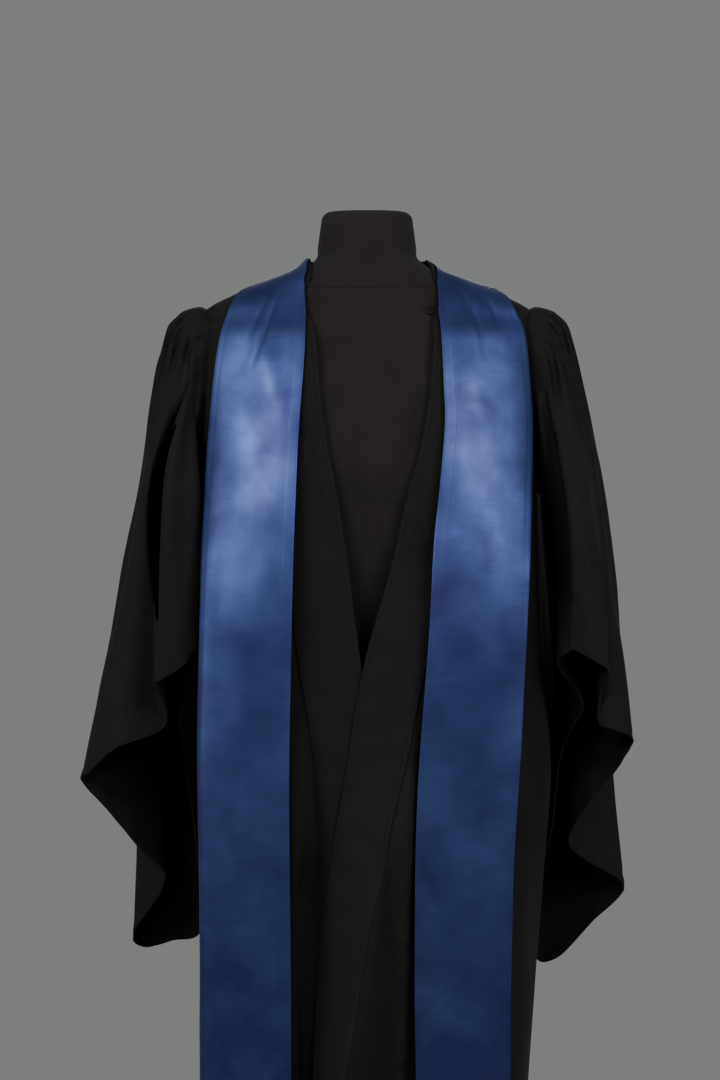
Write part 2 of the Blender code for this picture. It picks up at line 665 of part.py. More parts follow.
def stole_edges(side):
    """Turn and height of both edges of the stole, from the centre back to its end."""
    edges = list(STOLE_BEHIND + STOLE_RIDGE[side])
    places = [tuple(over) for over in STOLE_SHOULDER[side]]
    for strap in STOLE_FRONT:
        inner, outer = strap[1:3] if side == RIGHT else strap[3:5]
        places.append((inner, strap.height, outer, strap.height))
    for inner, height, outer, outer_height in places:
        turn = turn_at(side, inner, row_at(height))
        edges.append((turn, height, turn_at(side, outer, row_at(outer_height)), outer_height))
    return edges


def stole_point(side, edges, f, across):
    """Point of the stole: f rows along its edges, across from the inner to the outer one."""
    turn, height, outer_turn, outer_height = smooth(range(len(edges)), edges, f)
    turn += (outer_turn - turn) * across
    height += (outer_height - height) * across
    t = row_at(max(height, BODY[0].height))
    clear = STOLE_ON_YOKE + (STOLE_ON_FRONT - STOLE_ON_YOKE) * ease(1.478, 1.448, height)
    point = on_body(side * turn, t, clear)
    free = ease(HANG_TOP, HANG_FREE, height) if f > STOLE_WRAPS else 0.0
    if free:
        hang = -level(t).front - HANG_CLEAR + HANG_CURL * across**2
        point.y += (hang - point.y) * free
    return point


def make_stole(side, name):
    edges = stole_edges(side)
    last = len(edges) - 1
    steps = spread(last, STOLE_WRAPS, 2 * (last - STOLE_WRAPS) + 1)
    steps += spread(STOLE_WRAPS, 0.0, 3 * STOLE_WRAPS + 1)[1:]
    grid = []
    for f in steps:
        grid.append([stole_point(side, edges, f, across) for across in spread(0.0, 1.0, 5)])
    return cloth(name, facing_out(side, grid), STOLE_WALL, BLUE_SATIN)


def closed_loft(name, rings, finish):
    """Solid through level rings of points, closed at both ends."""
    count = len(rings[0])
    faces = [tuple(range(count))[::-1]]
    for r in range(len(rings) - 1):
        for c in range(count):
            d = (c + 1) % count
            low, high = r * count, (r + 1) * count
            faces.append((low + c, low + d, high + d, high + c))
    top = (len(rings) - 1) * count
    faces.append(tuple(range(top, top + count)))
    return new_object(name, [point for ring in rings for point in ring], faces, finish)


def make_form():
    turns = [360 * i / FORM_SHOULDER_TURNS for i in range(FORM_SHOULDER_TURNS)]
    rings = []
    for ring in FORM:
        rings.append([outline(t, ring.across, ring.across, ring.front, ring.back, ring.height)
                      for t in turns])
    for height, clear in FORM_SHOULDERS:
        rings.append([on_body(t, row_at(height), -WALL / 2 - clear) for t in turns])
    for ring in NECK:
        rings.append([outline(t, ring.across, ring.across, ring.front, ring.back, ring.height)
                      for t in turns])
    return closed_loft("form_torso", rings, JERSEY)


def turned(name, profile, finish, sides=32):
    """Solid of revolution round the stand's axis, from (radius, height) pairs going up."""
    rings = []
    for radius, height in profile:
        angles = [2 * math.pi * i / sides for i in range(sides)]
        rings.append([Vector((radius * math.cos(a), radius * math.sin(a), height)) for a in angles])
    return closed_loft(name, rings, finish)


def make_stand():
    turned("form_base", (
        (BASE_RADIUS - CHAMFER, 0.0),
        (BASE_RADIUS, CHAMFER),
        (BASE_RADIUS, BASE_EDGE - CHAMFER),
        (BASE_RADIUS - CHAMFER, BASE_EDGE),
        BASE_CROWN,
        (COLLAR_RADIUS + COLLAR_FOOT, BASE_TOP),
        (COLLAR_RADIUS, BASE_TOP + COLLAR_FOOT),
        (COLLAR_RADIUS, COLLAR_TOP - CHAMFER),
        (COLLAR_RADIUS - CHAMFER, COLLAR_TOP),
    ), STEEL)
    turned("form_pole", (
        (POLE_RADIUS, COLLAR_TOP + SEAM),
        (POLE_RADIUS, FORM[0].height - SEAM),
    ), STEEL, sides=28)
    top = NECK[-1].height
    turned("form_nub", (
        (NUB_RADIUS, top + SEAM),
        (NUB_RADIUS, top + NUB_HEIGHT - 0.001),
        (NUB_RADIUS - 0.001, top + NUB_HEIGHT),
    ), STEEL, sides=16)


def make_loop():
    """Flat ring of thread at the edge of the right front."""
    across, height = LOOP_CENTRE
    t = row_at(height)
    centre = on_front(RIGHT, turn_at(RIGHT, across, t), t)
    grid = []
    for i in range(LOOP_STEPS):
        a = 2 * math.pi * i / LOOP_STEPS
        ring = []
        middle = Vector((LOOP_HALF_WIDTH * math.cos(a), 0, LOOP_HALF_HEIGHT * math.sin(a)))
        radial = middle.normalized()
        for j in range(LOOP_SIDES):
            b = 2 * math.pi * j / LOOP_SIDES
            away = radial * math.cos(b) + Vector((0, math.sin(b), 0))
            ring.append(centre + middle + LOOP_THREAD * away)
        grid.append(ring)
    faces = []
    for i in range(LOOP_STEPS):
        for j in range(LOOP_SIDES):
            k, m = (i + 1) % LOOP_STEPS * LOOP_SIDES, (j + 1) % LOOP_SIDES
            i_first = i * LOOP_SIDES
            faces.append((i_first + j, i_first + m, k + m, k + j))
    return new_object("neck_loop", [point for ring in grid for point in ring], faces, BLACK_CLOTH)


def main():
    for old in list(bpy.data.objects):
        bpy.data.objects.remove(old)
    make_yoke()
    make_front(LEFT, "front_left")
    make_front(RIGHT, "front_right")
    make_band(LEFT, "band_left")
    make_band(RIGHT, "band_right")
    make_back()
    make_sleeve(LEFT, "sleeve_left", SLEEVE_LEFT)
    make_sleeve(RIGHT, "sleeve_right", SLEEVE_RIGHT)
    make_loop()
    make_stole(LEFT, "stole_left")
    make_stole(RIGHT, "stole_right")
    make_form()
    make_stand()


main()
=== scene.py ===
# %% [markdown]
# # A graduation gown with its stole, on a dress form
#
# The real object is a black gown of light matt cloth with open sleeves, and over it a stole
# of blue satin that runs round the neck and hangs straight down in front. Both are worn by a
# limbless dress form on a stand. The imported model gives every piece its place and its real
# size. This script gives each of them its looks: finer cloth with its creases, hems and
# stitches, and a finish with its own weave.

# %% Load the frame
import math
from collections import namedtuple

import bpy
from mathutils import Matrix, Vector, noise


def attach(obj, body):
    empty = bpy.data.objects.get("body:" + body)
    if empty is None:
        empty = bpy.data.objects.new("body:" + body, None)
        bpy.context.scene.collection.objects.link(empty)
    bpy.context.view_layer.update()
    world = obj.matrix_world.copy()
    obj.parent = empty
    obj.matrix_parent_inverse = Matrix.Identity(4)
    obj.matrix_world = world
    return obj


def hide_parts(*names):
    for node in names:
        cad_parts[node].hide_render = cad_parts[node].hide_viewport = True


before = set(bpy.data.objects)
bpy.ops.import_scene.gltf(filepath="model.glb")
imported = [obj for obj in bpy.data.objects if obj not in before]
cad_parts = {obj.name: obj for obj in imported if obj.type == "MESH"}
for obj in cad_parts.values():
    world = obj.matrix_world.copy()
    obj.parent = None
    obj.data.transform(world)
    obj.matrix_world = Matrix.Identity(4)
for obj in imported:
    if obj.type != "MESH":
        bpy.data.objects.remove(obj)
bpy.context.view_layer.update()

# %% [markdown]
# ## Camera, floor and light
#
# The photograph is a close view from straight in front, from 3 m away at chest height, so the
# skirt runs out of the frame. The long side of the picture gets the sensor's width, and the
# lens is the one at which 1.264 m of the gown fills the frame's height. A round pale floor and
# a plain grey world keep the background quiet. The light is soft. Two long low boxes above and
# beside the camera are the keys: the satin mirrors them where the chest tilts up, and stays
# dark elsewhere. A weaker box at each side opens the folds, and one lights the back.

# %% Camera
CAMERA_PLACE = Vector((-0.0082, -3.0, 1.18))
SEEN_HEIGHT = 1.2636
SENSOR = 36.0

camera_data = bpy.data.cameras.new("camera")
camera_data.sensor_width = SENSOR
camera_data.lens = SENSOR / (SEEN_HEIGHT / -CAMERA_PLACE.y)
camera = bpy.data.objects.new("camera", camera_data)
camera.location = CAMERA_PLACE
camera.rotation_euler = (math.pi / 2, 0, 0)
bpy.context.scene.collection.objects.link(camera)
bpy.context.scene.camera = camera
print("lens:", round(camera_data.lens, 2))

# %% Helper for finishes
class Finish:
    """A material with a Principled shader, and short ways to add nodes to it."""

    def __init__(self, name, roughness, metallic=0.0):
        self.material = bpy.data.materials.new(name)
        self.material.use_nodes = True
        self.tree = self.material.node_tree
        self.shader = self.tree.nodes["Principled BSDF"]
        self.feed({"Roughness": roughness, "Metallic": metallic})

    def feed(self, inputs, node=None):
        """Links or sets inputs of a node; of the shader, if none is given."""
        for socket, value in inputs.items():
            target = (node or self.shader).inputs[socket]
            if isinstance(value, bpy.types.NodeSocket):
                self.tree.links.new(value, target)
            else:
                target.default_value = value

    def add(self, kind, inputs={}, out=0, **settings):
        """A new node's output."""
        made = self.tree.nodes.new("ShaderNode" + kind)
        for key, value in settings.items():
            setattr(made, key, value)
        self.feed(inputs, made)
        return made.outputs[out]

    def place(self):
        return self.add("TexCoord", out="Object")

    def threads(self):
        return self.add("UVMap", uv_map="threads")

    def noise(self, vector, scale, detail, more={}):
        return self.add("TexNoise", {"Vector": vector, "Scale": scale, "Detail": detail, **more})

    def bands(self, vector, pitch, axis, more={}):
        """Even bands across an axis, at a pitch in the vector's own unit."""
        inputs = {"Vector": vector, "Scale": 2 * math.pi / 20 / pitch, **more}
        return self.add("TexWave", inputs, "Fac", bands_direction=axis)

    def total(self, first, second):
        return self.add("Math", {0: first, 1: second}, operation="ADD")

    def ranged(self, value, low, high, start=0.0, end=1.0):
        """The value, brought from start to end into low to high."""
        return self.add("MapRange", {"Value": value, "From Min": start, "From Max": end,
                                     "To Min": low, "To Max": high})

    def ramp(self, factor, stops):
        """A colour ramp from pairs of a place and a colour."""
        made = self.add("ValToRGB", {"Fac": factor}).node
        elements = made.color_ramp.elements
        while len(elements) < len(stops):
            elements.new(0.5)
        for element, (place, colour) in zip(elements, stops):
            element.position = place
            element.color = (*colour, 1)
        return made.outputs["Color"]

    def bump(self, height, strength, distance):
        inputs = {"Height": height, "Strength": strength, "Distance": distance}
        self.feed({"Normal": self.add("Bump", inputs)})


# %% Floor and world
FLOOR_RADIUS = 2.4

bpy.ops.object.select_all(action="DESELECT")
bpy.ops.mesh.primitive_circle_add(vertices=128, radius=FLOOR_RADIUS, fill_type="NGON",
                                  location=(0, 0, -0.001))
floor = bpy.context.object
floor.name = "floor"
finish = Finish("pale_floor", 0.8)
grain = finish.noise(finish.place(), 3.0, 4.0)
finish.feed({"Base Color": finish.ramp(grain, [(0.3, (0.46,) * 3), (0.7, (0.5,) * 3)])})
floor.data.materials.append(finish.material)

world = bpy.data.worlds.new("studio")
world.use_nodes = True
world.node_tree.nodes["Background"].inputs["Color"].default_value = (0.205, 0.215, 0.205, 1)
world.node_tree.nodes["Background"].inputs["Strength"].default_value = 1.0
bpy.context.scene.world = world


# %% Lights
def soft_light(name, place, target, width, height, power):
    """A rectangular softbox that points at a target."""
    data = bpy.data.lights.new(name, "AREA")
    data.shape = "RECTANGLE"
    data.size, data.size_y = width, height
    data.energy = power
    lamp = bpy.data.objects.new(name, data)
    lamp.location = place
    lamp.rotation_mode = "QUATERNION"
    lamp.rotation_quaternion = (Vector(target) - Vector(place)).to_track_quat("-Z", "Y")
    bpy.context.scene.collection.objects.link(lamp)
    return lamp


soft_light("key_left", (-1.75, -2.75, 2.95), (0, 0, 1.25), 1.6, 0.6, 76)
soft_light("key_right", (1.75, -2.75, 2.90), (0, 0, 1.25), 1.6, 0.6, 72)
soft_light("left", (-2.7, -1.1, 2.0), (0, 0, 1.2), 1.0, 1.6, 18)
soft_light("right", (2.7, -1.1, 1.9), (0, 0, 1.2), 1.0, 1.6, 14)
soft_light("behind", (0.2, 2.8, 1.9), (0, 0, 1.0), 2.4, 1.6, 14)

# %% [markdown]
# ## The gown's shape
#
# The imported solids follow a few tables: levels of the worn body, the edges of the opening, the
# yoke, the armhole and the folds of the sleeves. The same tables are given here again, so that
# finer cloth lies exactly where its solid is, with room between the layers.

# %% Sizes of the cloth
WALL = 0.0016
STOLE_WALL = 0.0014
PITCH = 0.0021
ARMHOLE_SEAM = 0.0002
GATHERED_SEAM = 0.0004
BAND_WIDTH = 0.070
YOKE_SEAM = 1.430
ARMPIT = 1.235
SHOULDER = 1.449
HALF_WIDTH = 0.197
ARMHOLE_FRONT, ARMHOLE_BACK = 66, 112
YOKE_CORNER = 140
BACK_CORNER = 1.425
SQUARE = 0.20
RIGHT, LEFT = 1, -1

# %% Levels of the body, from the hem up
Level = namedtuple("Level", "height right left front back")
BODY = (
    Level(0.280, 0.200, 0.190, 0.150, 0.215),
    Level(0.450, 0.184, 0.180, 0.142, 0.200),
    Level(0.660, 0.195, 0.180, 0.138, 0.188),
    Level(0.800, 0.206, 0.181, 0.136, 0.178),
    Level(0.920, 0.214, 0.183, 0.133, 0.168),
    Level(1.050, 0.203, 0.185, 0.129, 0.156),
    Level(1.170, 0.199, 0.189, 0.127, 0.146),
    Level(1.270, HALF_WIDTH, 0.194, 0.124, 0.138),
    Level(1.350, HALF_WIDTH, 0.195, 0.114, 0.127),
    Level(1.405, 0.196, 0.194, 0.096, 0.110),
    Level(1.432, 0.193, 0.191, 0.080, 0.094),
    Level(1.447, 0.190, 0.188, 0.071, 0.082),
    Level(1.461, 0.1655, 0.1645, 0.065, 0.073),
    Level(1.476, 0.125, 0.123, 0.062, 0.068),
    Level(1.490, 0.088, 0.087, 0.061, 0.065),
    Level(1.512, 0.0635, 0.0625, 0.060, 0.062),
)

# %% Opening, turned band and long folds of the fronts
Opening = namedtuple("Opening", "height right left")
OPENING = (
    Opening(0.280, -0.050, -0.036),
    Opening(0.570, -0.062, -0.038),
    Opening(0.690, -0.0585, -0.034),
    Opening(0.810, -0.047, -0.024),
    Opening(0.930, -0.026, -0.011),
    Opening(1.040, -0.004, 0.007),
    Opening(1.120, 0.019, 0.0175),
    Opening(1.170, 0.032, 0.024),
    Opening(1.230, 0.0449, 0.0335),
    Opening(1.283, 0.0595, 0.044),
    Opening(1.352, 0.071, 0.053),
    Opening(1.406, 0.075, 0.058),
    Opening(1.450, 0.0745, 0.067),
)
TURNED_BAND = (
    (0.280, 0.034), (0.570, 0.032), (0.660, 0.047), (0.740, 0.055),
    (0.810, 0.063), (0.930, 0.0695), (1.464, 0.0700),
)
Fold = namedtuple("Fold", "top_height top_across low_across width depth")
FRONT_FOLDS = (
    Fold(1.02, 0.046, 0.036, 0.011, 0.011),
    Fold(1.06, 0.094, 0.086, 0.016, 0.008),
    Fold(1.10, 0.150, 0.140, 0.016, -0.010),
    Fold(1.00, -0.066, -0.050, 0.011, -0.012),
    Fold(1.05, -0.086, -0.078, 0.013, 0.009),
    Fold(1.10, -0.125, -0.118, 0.017, -0.010),
    Fold(1.12, -0.155, -0.150, 0.015, 0.007),
)
FOLD_FOOT = 0.57
LAP_STARTS = (1.16, 1.05)
LAP_ACROSS = (0.13, 0.06)
RIDGE_SPREAD = 0.026

# %% Yoke, neck and armhole
YOKE_EDGE = (
    (0, YOKE_SEAM), (ARMHOLE_FRONT, YOKE_SEAM), (76, 1.445), (90, SHOULDER), (103, 1.443),
    (ARMHOLE_BACK, BACK_CORNER), (YOKE_CORNER, 1.385), (180, 1.380),
)
NECK_EDGE = {
    RIGHT: (
        (19.3, 1.434), (20.1, 1.444), (21.6, 1.452), (23.8, 1.461), (28.9, 1.470), (35.2, 1.479),
        (45, 1.486), (58.3, 1.4935), (74, 1.502), (88, 1.507), (180, 1.508),
    ),
    LEFT: (
        (16.6, 1.434), (17.4, 1.444), (18.9, 1.452), (20.8, 1.461), (25, 1.470), (29.6, 1.479),
        (36.6, 1.486), (45.1, 1.4935), (57.3, 1.502), (75, 1.507), (180, 1.508),
    ),
}
YOKE_BEND = 30
ARMHOLE = (
    (90, SHOULDER), (76, 1.445), (ARMHOLE_FRONT, YOKE_SEAM), (ARMHOLE_FRONT, 1.390),
    (68, 1.330), (74, 1.270), (90, ARMPIT), (106, 1.270), (112, 1.330), (114, 1.390),
    (ARMHOLE_BACK, BACK_CORNER), (103, 1.443),
)

# %% Folds of the sleeves: a row for each, where it hangs half way down and at the hem
Hang = namedtuple("Hang", "name place across depth height hem_across hem_depth hem_height")
SLEEVE_LEFT = (
    Hang("slit_outer", 3.1, 0.2465, -0.030, 1.225, 0.2395, -0.0980, 1.0160),
    Hang("notch_valley", 2.6, 0.2520, -0.056, 1.220, 0.2320, -0.0560, 0.9663),
    Hang("outer_front", 2.1, 0.2640, -0.050, 1.210, 0.2878, -0.0620, 0.9415),
    Hang("outer_front_2", 1.6, 0.2690, -0.035, 1.210, 0.3180, -0.0450, 0.9150),
    Hang("outermost", 0.9, 0.2735, -0.012, 1.200, 0.3312, -0.0150, 0.8988),
    Hang("outer_back", 0.2, 0.2735, 0.010, 1.190, 0.3010, 0.0060, 0.8600),
    Hang("second_lobe", -0.5, 0.2680, 0.027, 1.180, 0.2686, 0.0200, 0.8172),
    Hang("deep_valley", -1.1, 0.2540, 0.042, 1.170, 0.2380, 0.0430, 0.7762),
    Hang("third_lobe", -1.8, 0.2630, 0.062, 1.160, 0.2782, 0.0760, 0.7112),
    Hang("lobe_back", -2.6, 0.2500, 0.084, 1.150, 0.2702, 0.1000, 0.6880),
    Hang("point", -3.4, 0.2300, 0.094, 1.140, 0.2360, 0.1130, 0.6940),
    Hang("back_inner", -4.2, 0.1880, 0.088, 1.130, 0.2010, 0.1130, 0.7062),
    Hang("inner_back", -5.0, 0.1930, 0.062, 1.120, 0.2030, 0.0750, 0.7900),
    Hang("inner_mid", -5.7, 0.1990, 0.032, 1.110, 0.2120, 0.0340, 0.9000),
    Hang("inner_fold", -6.4, 0.2030, -0.004, 1.110, 0.2190, -0.0100, 0.9678),
    Hang("inner_front", -7.2, 0.2020, -0.042, 1.140, 0.2040, -0.0520, 1.0037),
    Hang("front_corner", -8.0, 0.1875, -0.085, 1.220, 0.1930, -0.0880, 1.0595),
    Hang("front_fold", -8.4, 0.2130, -0.099, 1.230, 0.2070, -0.0990, 1.0384),
    Hang("slit_inner", -8.8, 0.2310, -0.096, 1.235, 0.2372, -0.1000, 1.0190),
)
SLEEVE_RIGHT = (
    Hang("slit_outer", 3.1, 0.2262, -0.096, 1.220, 0.2341, -0.1010, 1.0556),
    Hang("front_flat", 2.6, 0.2430, -0.100, 1.210, 0.2560, -0.1080, 1.0435),
    Hang("front_ridge", 2.1, 0.2570, -0.088, 1.200, 0.2730, -0.0950, 1.0293),
    Hang("front_valley", 1.7, 0.2620, -0.064, 1.200, 0.2680, -0.0670, 1.0050),
    Hang("front_valley_2", 1.3, 0.2660, -0.050, 1.200, 0.2655, -0.0550, 0.9710),
    Hang("outer_front", 0.8, 0.2740, -0.040, 1.200, 0.2831, -0.0600, 0.9623),
    Hang("outermost", 0.2, 0.2815, -0.014, 1.200, 0.3070, -0.0380, 0.9480),
    Hang("outer_back", -0.4, 0.2790, 0.010, 1.190, 0.2860, 0.0000, 0.9050),
    Hang("second_valley", -0.8, 0.2700, 0.024, 1.180, 0.2580, 0.0160, 0.8670),
    Hang("deep_valley", -1.2, 0.2570, 0.036, 1.170, 0.2380, 0.0320, 0.8219),
    Hang("third_front", -1.6, 0.2640, 0.050, 1.160, 0.2610, 0.0430, 0.7994),
    Hang("third_lobe", -2.1, 0.2700, 0.066, 1.150, 0.3055, 0.0600, 0.7660),
    Hang("lobe_back", -2.8, 0.2520, 0.086, 1.140, 0.2700, 0.0900, 0.7185),
    Hang("point", -3.5, 0.2320, 0.095, 1.130, 0.2305, 0.1100, 0.6730),
    Hang("back_inner", -4.2, 0.2050, 0.090, 1.120, 0.2040, 0.1180, 0.6787),
    Hang("inner_back", -4.9, 0.2070, 0.062, 1.110, 0.2110, 0.0760, 0.7800),
    Hang("inner_mid", -5.5, 0.2100, 0.036, 1.110, 0.2210, 0.0380, 0.8600),
    Hang("inner_fold", -6.1, 0.2120, 0.006, 1.110, 0.2270, 0.0000, 0.9300),
    Hang("inner_fold_2", -6.7, 0.2150, -0.018, 1.120, 0.2400, -0.0300, 0.9650),
    Hang("inner_front", -7.3, 0.2150, -0.030, 1.130, 0.2480, -0.0520, 0.9950),
    Hang("front_corner", -8.1, 0.2190, -0.048, 1.160, 0.2164, -0.0800, 1.0377),
    Hang("slit_inner", -8.7, 0.2320, -0.066, 1.200, 0.2285, -0.0990, 1.0530),
)
SLIT = (0.28, 0.84)
SLEEVE_STATIONS = (0.0, 0.02, 0.05, 0.13, 0.5, 1.0)
ARMHOLE_INSET = 0.004
HEAD_OUT, HEAD_OUT_LOW = 0.047, 0.14
HEAD_DROP, HEAD_DROP_LOW = 0.027, 0.3
CROWN_OUT, CROWN_DROP = 0.62, 0.12
PUFF_OUT, PUFF_RISE = 0.2, 0.0035
HEAD_DEEPER = 0.2

# %% Stole: round the neck by turn and height, and in front by height and reach
STOLE_BEHIND = (
    (179.8, 1.507, 179.8, 1.410),
    (160, 1.507, 163, 1.411),
    (138, 1.507, 146, 1.419),
    (116, 1.507, 127, 1.438),
)
STOLE_RIDGE = {
    RIGHT: ((101, 1.504, 110, 1.4570), (91, 1.499, 94, 1.4655)),
    LEFT: ((101, 1.507, 109, 1.4590), (90, 1.507, 93, 1.4725)),
}
STOLE_SHOULDER = {
    RIGHT: (
        (0.0780, 1.494, 0.1400, 1.4665),
        (0.0787, 1.487, 0.1480, 1.4635),
        (0.0795, 1.478, 0.1545, 1.4600),
        (0.0803, 1.468, 0.1585, 1.4560),
        (0.0806, 1.457, 0.1625, 1.4510),
    ),
    LEFT: (
        (0.0655, 1.503, 0.1270, 1.4728),
        (0.0668, 1.495, 0.1360, 1.4680),
        (0.0692, 1.485, 0.1440, 1.4630),
        (0.0710, 1.472, 0.1480, 1.4575),
        (0.0708, 1.458, 0.1525, 1.4510),
    ),
}
STOLE_WRAPS = len(STOLE_BEHIND) + len(STOLE_RIDGE[LEFT]) + len(STOLE_SHOULDER[LEFT])
Strap = namedtuple("Strap", "height right_inner right_outer left_inner left_outer")
STOLE_FRONT = (
    Strap(1.444, 0.0808, 0.1655, 0.0700, 0.1560),
    Strap(1.424, 0.0820, 0.1738, 0.0695, 0.1620),
    Strap(1.394, 0.0838, 0.1785, 0.0700, 0.1675),
    Strap(1.352, 0.0850, 0.1810, 0.0725, 0.1715),
    Strap(1.310, 0.0860, 0.1828, 0.0755, 0.1745),
    Strap(1.240, 0.0800, 0.1805, 0.0786, 0.1780),
    Strap(1.172, 0.0730, 0.1780, 0.0809, 0.1800),
    Strap(1.069, 0.0674, 0.1730, 0.0831, 0.1814),
    Strap(0.897, 0.0550, 0.1646, 0.0854, 0.1853),
    Strap(0.681, 0.0517, 0.1560, 0.0831, 0.1842),
    Strap(0.573, 0.0528, 0.1540, 0.0825, 0.1835),
    Strap(0.400, 0.0530, 0.1530, 0.0820, 0.1830),
)
STOLE_ON_YOKE, STOLE_ON_FRONT = 0.0042, 0.0066
HANG_CLEAR = 0.026
HANG_TOP, HANG_FREE = 1.40, 1.06
HANG_CURL = 0.022


# %% Curves through a table
def smooth(stations, rows, at):
    """Values at a station on smooth curves through the rows."""
    last = len(stations) - 1
    k = max(i for i in range(last) if i == 0 or stations[i] <= at)
    span = stations[k + 1] - stations[k]
    f = min(max((at - stations[k]) / span, 0.0), 1.0)

    def slope(i, c):
        a, b = max(i - 1, 0), min(i + 1, last)
        return (rows[b][c] - rows[a][c]) / (stations[b] - stations[a]) * span

    weights = (2 * f**3 - 3 * f**2 + 1, f**3 - 2 * f**2 + f, 3 * f**2 - 2 * f**3, f**3 - f**2)
    return [
        weights[0] * rows[k][c] + weights[1] * slope(k, c)
        + weights[2] * rows[k + 1][c] + weights[3] * slope(k + 1, c)
        for c in range(len(rows[0]))
    ]


def straight(table, at):
    """Second column of a table at a value of its first, which rises."""
    for low, high in zip(table, table[1:]):
        if at <= high[0]:
            break
    f = min(max((at - low[0]) / (high[0] - low[0]), 0.0), 1.0)
    return low[1] + f * (high[1] - low[1])


def ease(start, end, value):
    """0 at start, 1 at end, soft at both."""
    f = min(max((value - start) / (end - start), 0.0), 1.0)
    return f * f * (3 - 2 * f)


def spread(start, end, count):
    """Evenly spaced numbers, both ends among them."""
    return [start + (end - start) * i / (count - 1) for i in range(count)]


# %% The worn surface
FINE = 60
LEVELS = [Level(*smooth(range(len(BODY)), BODY, i / FINE)) for i in range(FINE * (len(BODY) - 1) + 1)]
LEVEL_HEIGHTS = [(at.height, i / FINE) for i, at in enumerate(LEVELS)]


def level(t):
    """The body's level at row t of its table, between rows too."""
    i = min(max(t, 0) * FINE, len(LEVELS) - 1.001)
    low, high, f = LEVELS[int(i)], LEVELS[int(i) + 1], i % 1
    return Level(*(a + (b - a) * f for a, b in zip(low, high)))


def row_at(height):
    """Row of the body's table at a height, found by halving."""
    low, high = 0, len(LEVEL_HEIGHTS) - 1
    while high - low > 1:
        middle = (low + high) // 2
        if LEVEL_HEIGHTS[middle][0] < height:
            low = middle
        else:
            high = middle
    return straight(LEVEL_HEIGHTS[low:high + 1], height)


def outline(turn, right, left, front, back, height):
    """Point of a level outline, turn degrees from the centre front towards the right."""
    s, c = math.sin(math.radians(turn)), math.cos(math.radians(turn))
    half = right if s > 0 else left
    depth = front if c > 0 else back
    return Vector((half * s * (1 + SQUARE * c * c), -depth * c * (1 + SQUARE * s * s), height))


def on_body(turn, t, out=0.0):
    """Point of the gown's surface, moved out by a distance."""
    def point(turn, t):
        at = level(t)
        return outline(turn, at.right, at.left, at.front, at.back, at.height)

    if not out:
        return point(turn, t)
    low, high = max(t - 0.02, 0), min(t + 0.02, len(BODY) - 1)
    around = point(turn + 1, t) - point(turn - 1, t)
    up = point(turn, high) - point(turn, low)
    return point(turn, t) + around.cross(up).normalized() * out


def turn_at(side, across, t):
    """Turn, towards its own side, at which the surface is that far across."""
    at = level(t)
    half = at.right if side == RIGHT else at.left
    low, high = -90.0, 90.0
    for _ in range(24):
        middle = (low + high) / 2
        if outline(middle, half, half, 1, 1, 0).x < across:
            low = middle
        else:
            high = middle
    return (low + high) / 2


print("levels:", len(LEVELS), "row at the yoke seam:", round(row_at(YOKE_SEAM), 2))

# %% [markdown]
# ## Cloth as a thin wall
#
# Each cut piece of cloth is a grid of points along its surface.
# The grid gets its creases first, because both faces of real cloth bend together. Then the
# Solidify modifier gives it its thickness, and a small Bevel turns its cut edge. The thickness
# comes from a vertex group, so that a hem, where the cloth is turned over, is thicker.
# A UV map in metres runs along the threads, so that a weave follows the cloth.

# %% Directions and lengths across a grid
def facing(grid, around=False):
    """The outward normal at each point of a grid."""
    rows, columns = len(grid), len(grid[0])
    made = []
    for r in range(rows):
        low, high = grid[max(r - 1, 0)], grid[min(r + 1, rows - 1)]
        line = []
        for c in range(columns):
            if around:
                a, b = (c - 1) % columns, (c + 1) % columns
            else:
                a, b = max(c - 1, 0), min(c + 1, columns - 1)
            across, up = grid[r][b] - grid[r][a], high[c] - low[c]
            line.append(across.cross(up).normalized())
        made.append(line)
    return made


def moved(grid, amount, around=False):
    """The grid with each point moved along its normal by amount(r, c, point, normal)."""
    normals = facing(grid, around)
    return [
        [point + normals[r][c] * amount(r, c, point, normals[r][c]) for c, point in enumerate(row)]
        for r, row in enumerate(grid)
    ]


def lengths_along(points):
    """Length so far at each point of a line."""
    lengths = [0.0]
    for a, b in zip(points, points[1:]):
        lengths.append(lengths[-1] + (b - a).length)
    return lengths


def lengths_up(grid):
    """How far each point of a grid is from its hem, along its column."""
    made = [[0.0] * len(grid[0])]
    for low, high in zip(grid, grid[1:]):
        made.append([so_far + (b - a).length for so_far, a, b in zip(made[-1], low, high)])
    return made


# %% Creases, listed
Crease = namedtuple("Crease", "points width depth fade seen", defaults=((0.3, 0.3), "front"))
CREASE_REACH = 2.6   # how many widths away a crease still counts
VIEWS = {
    "front": (0, Vector((0, -1, 0))),
    "back": (0, Vector((0, 1, 0))),
    "left": (1, Vector((-1, 0, 0))),
    "right": (1, Vector((1, 0, 0))),
}


def crease_lines(creases):
    """Creases with what is needed to measure from them: their box and their length so far."""
    made = []
    for crease in creases:
        points = [Vector(p) for p in crease.points]
        reach = CREASE_REACH * crease.width
        box = (min(p.x for p in points) - reach, max(p.x for p in points) + reach,
               min(p.y for p in points) - reach, max(p.y for p in points) + reach)
        made.append((crease, points, lengths_along(points), box))
    return made


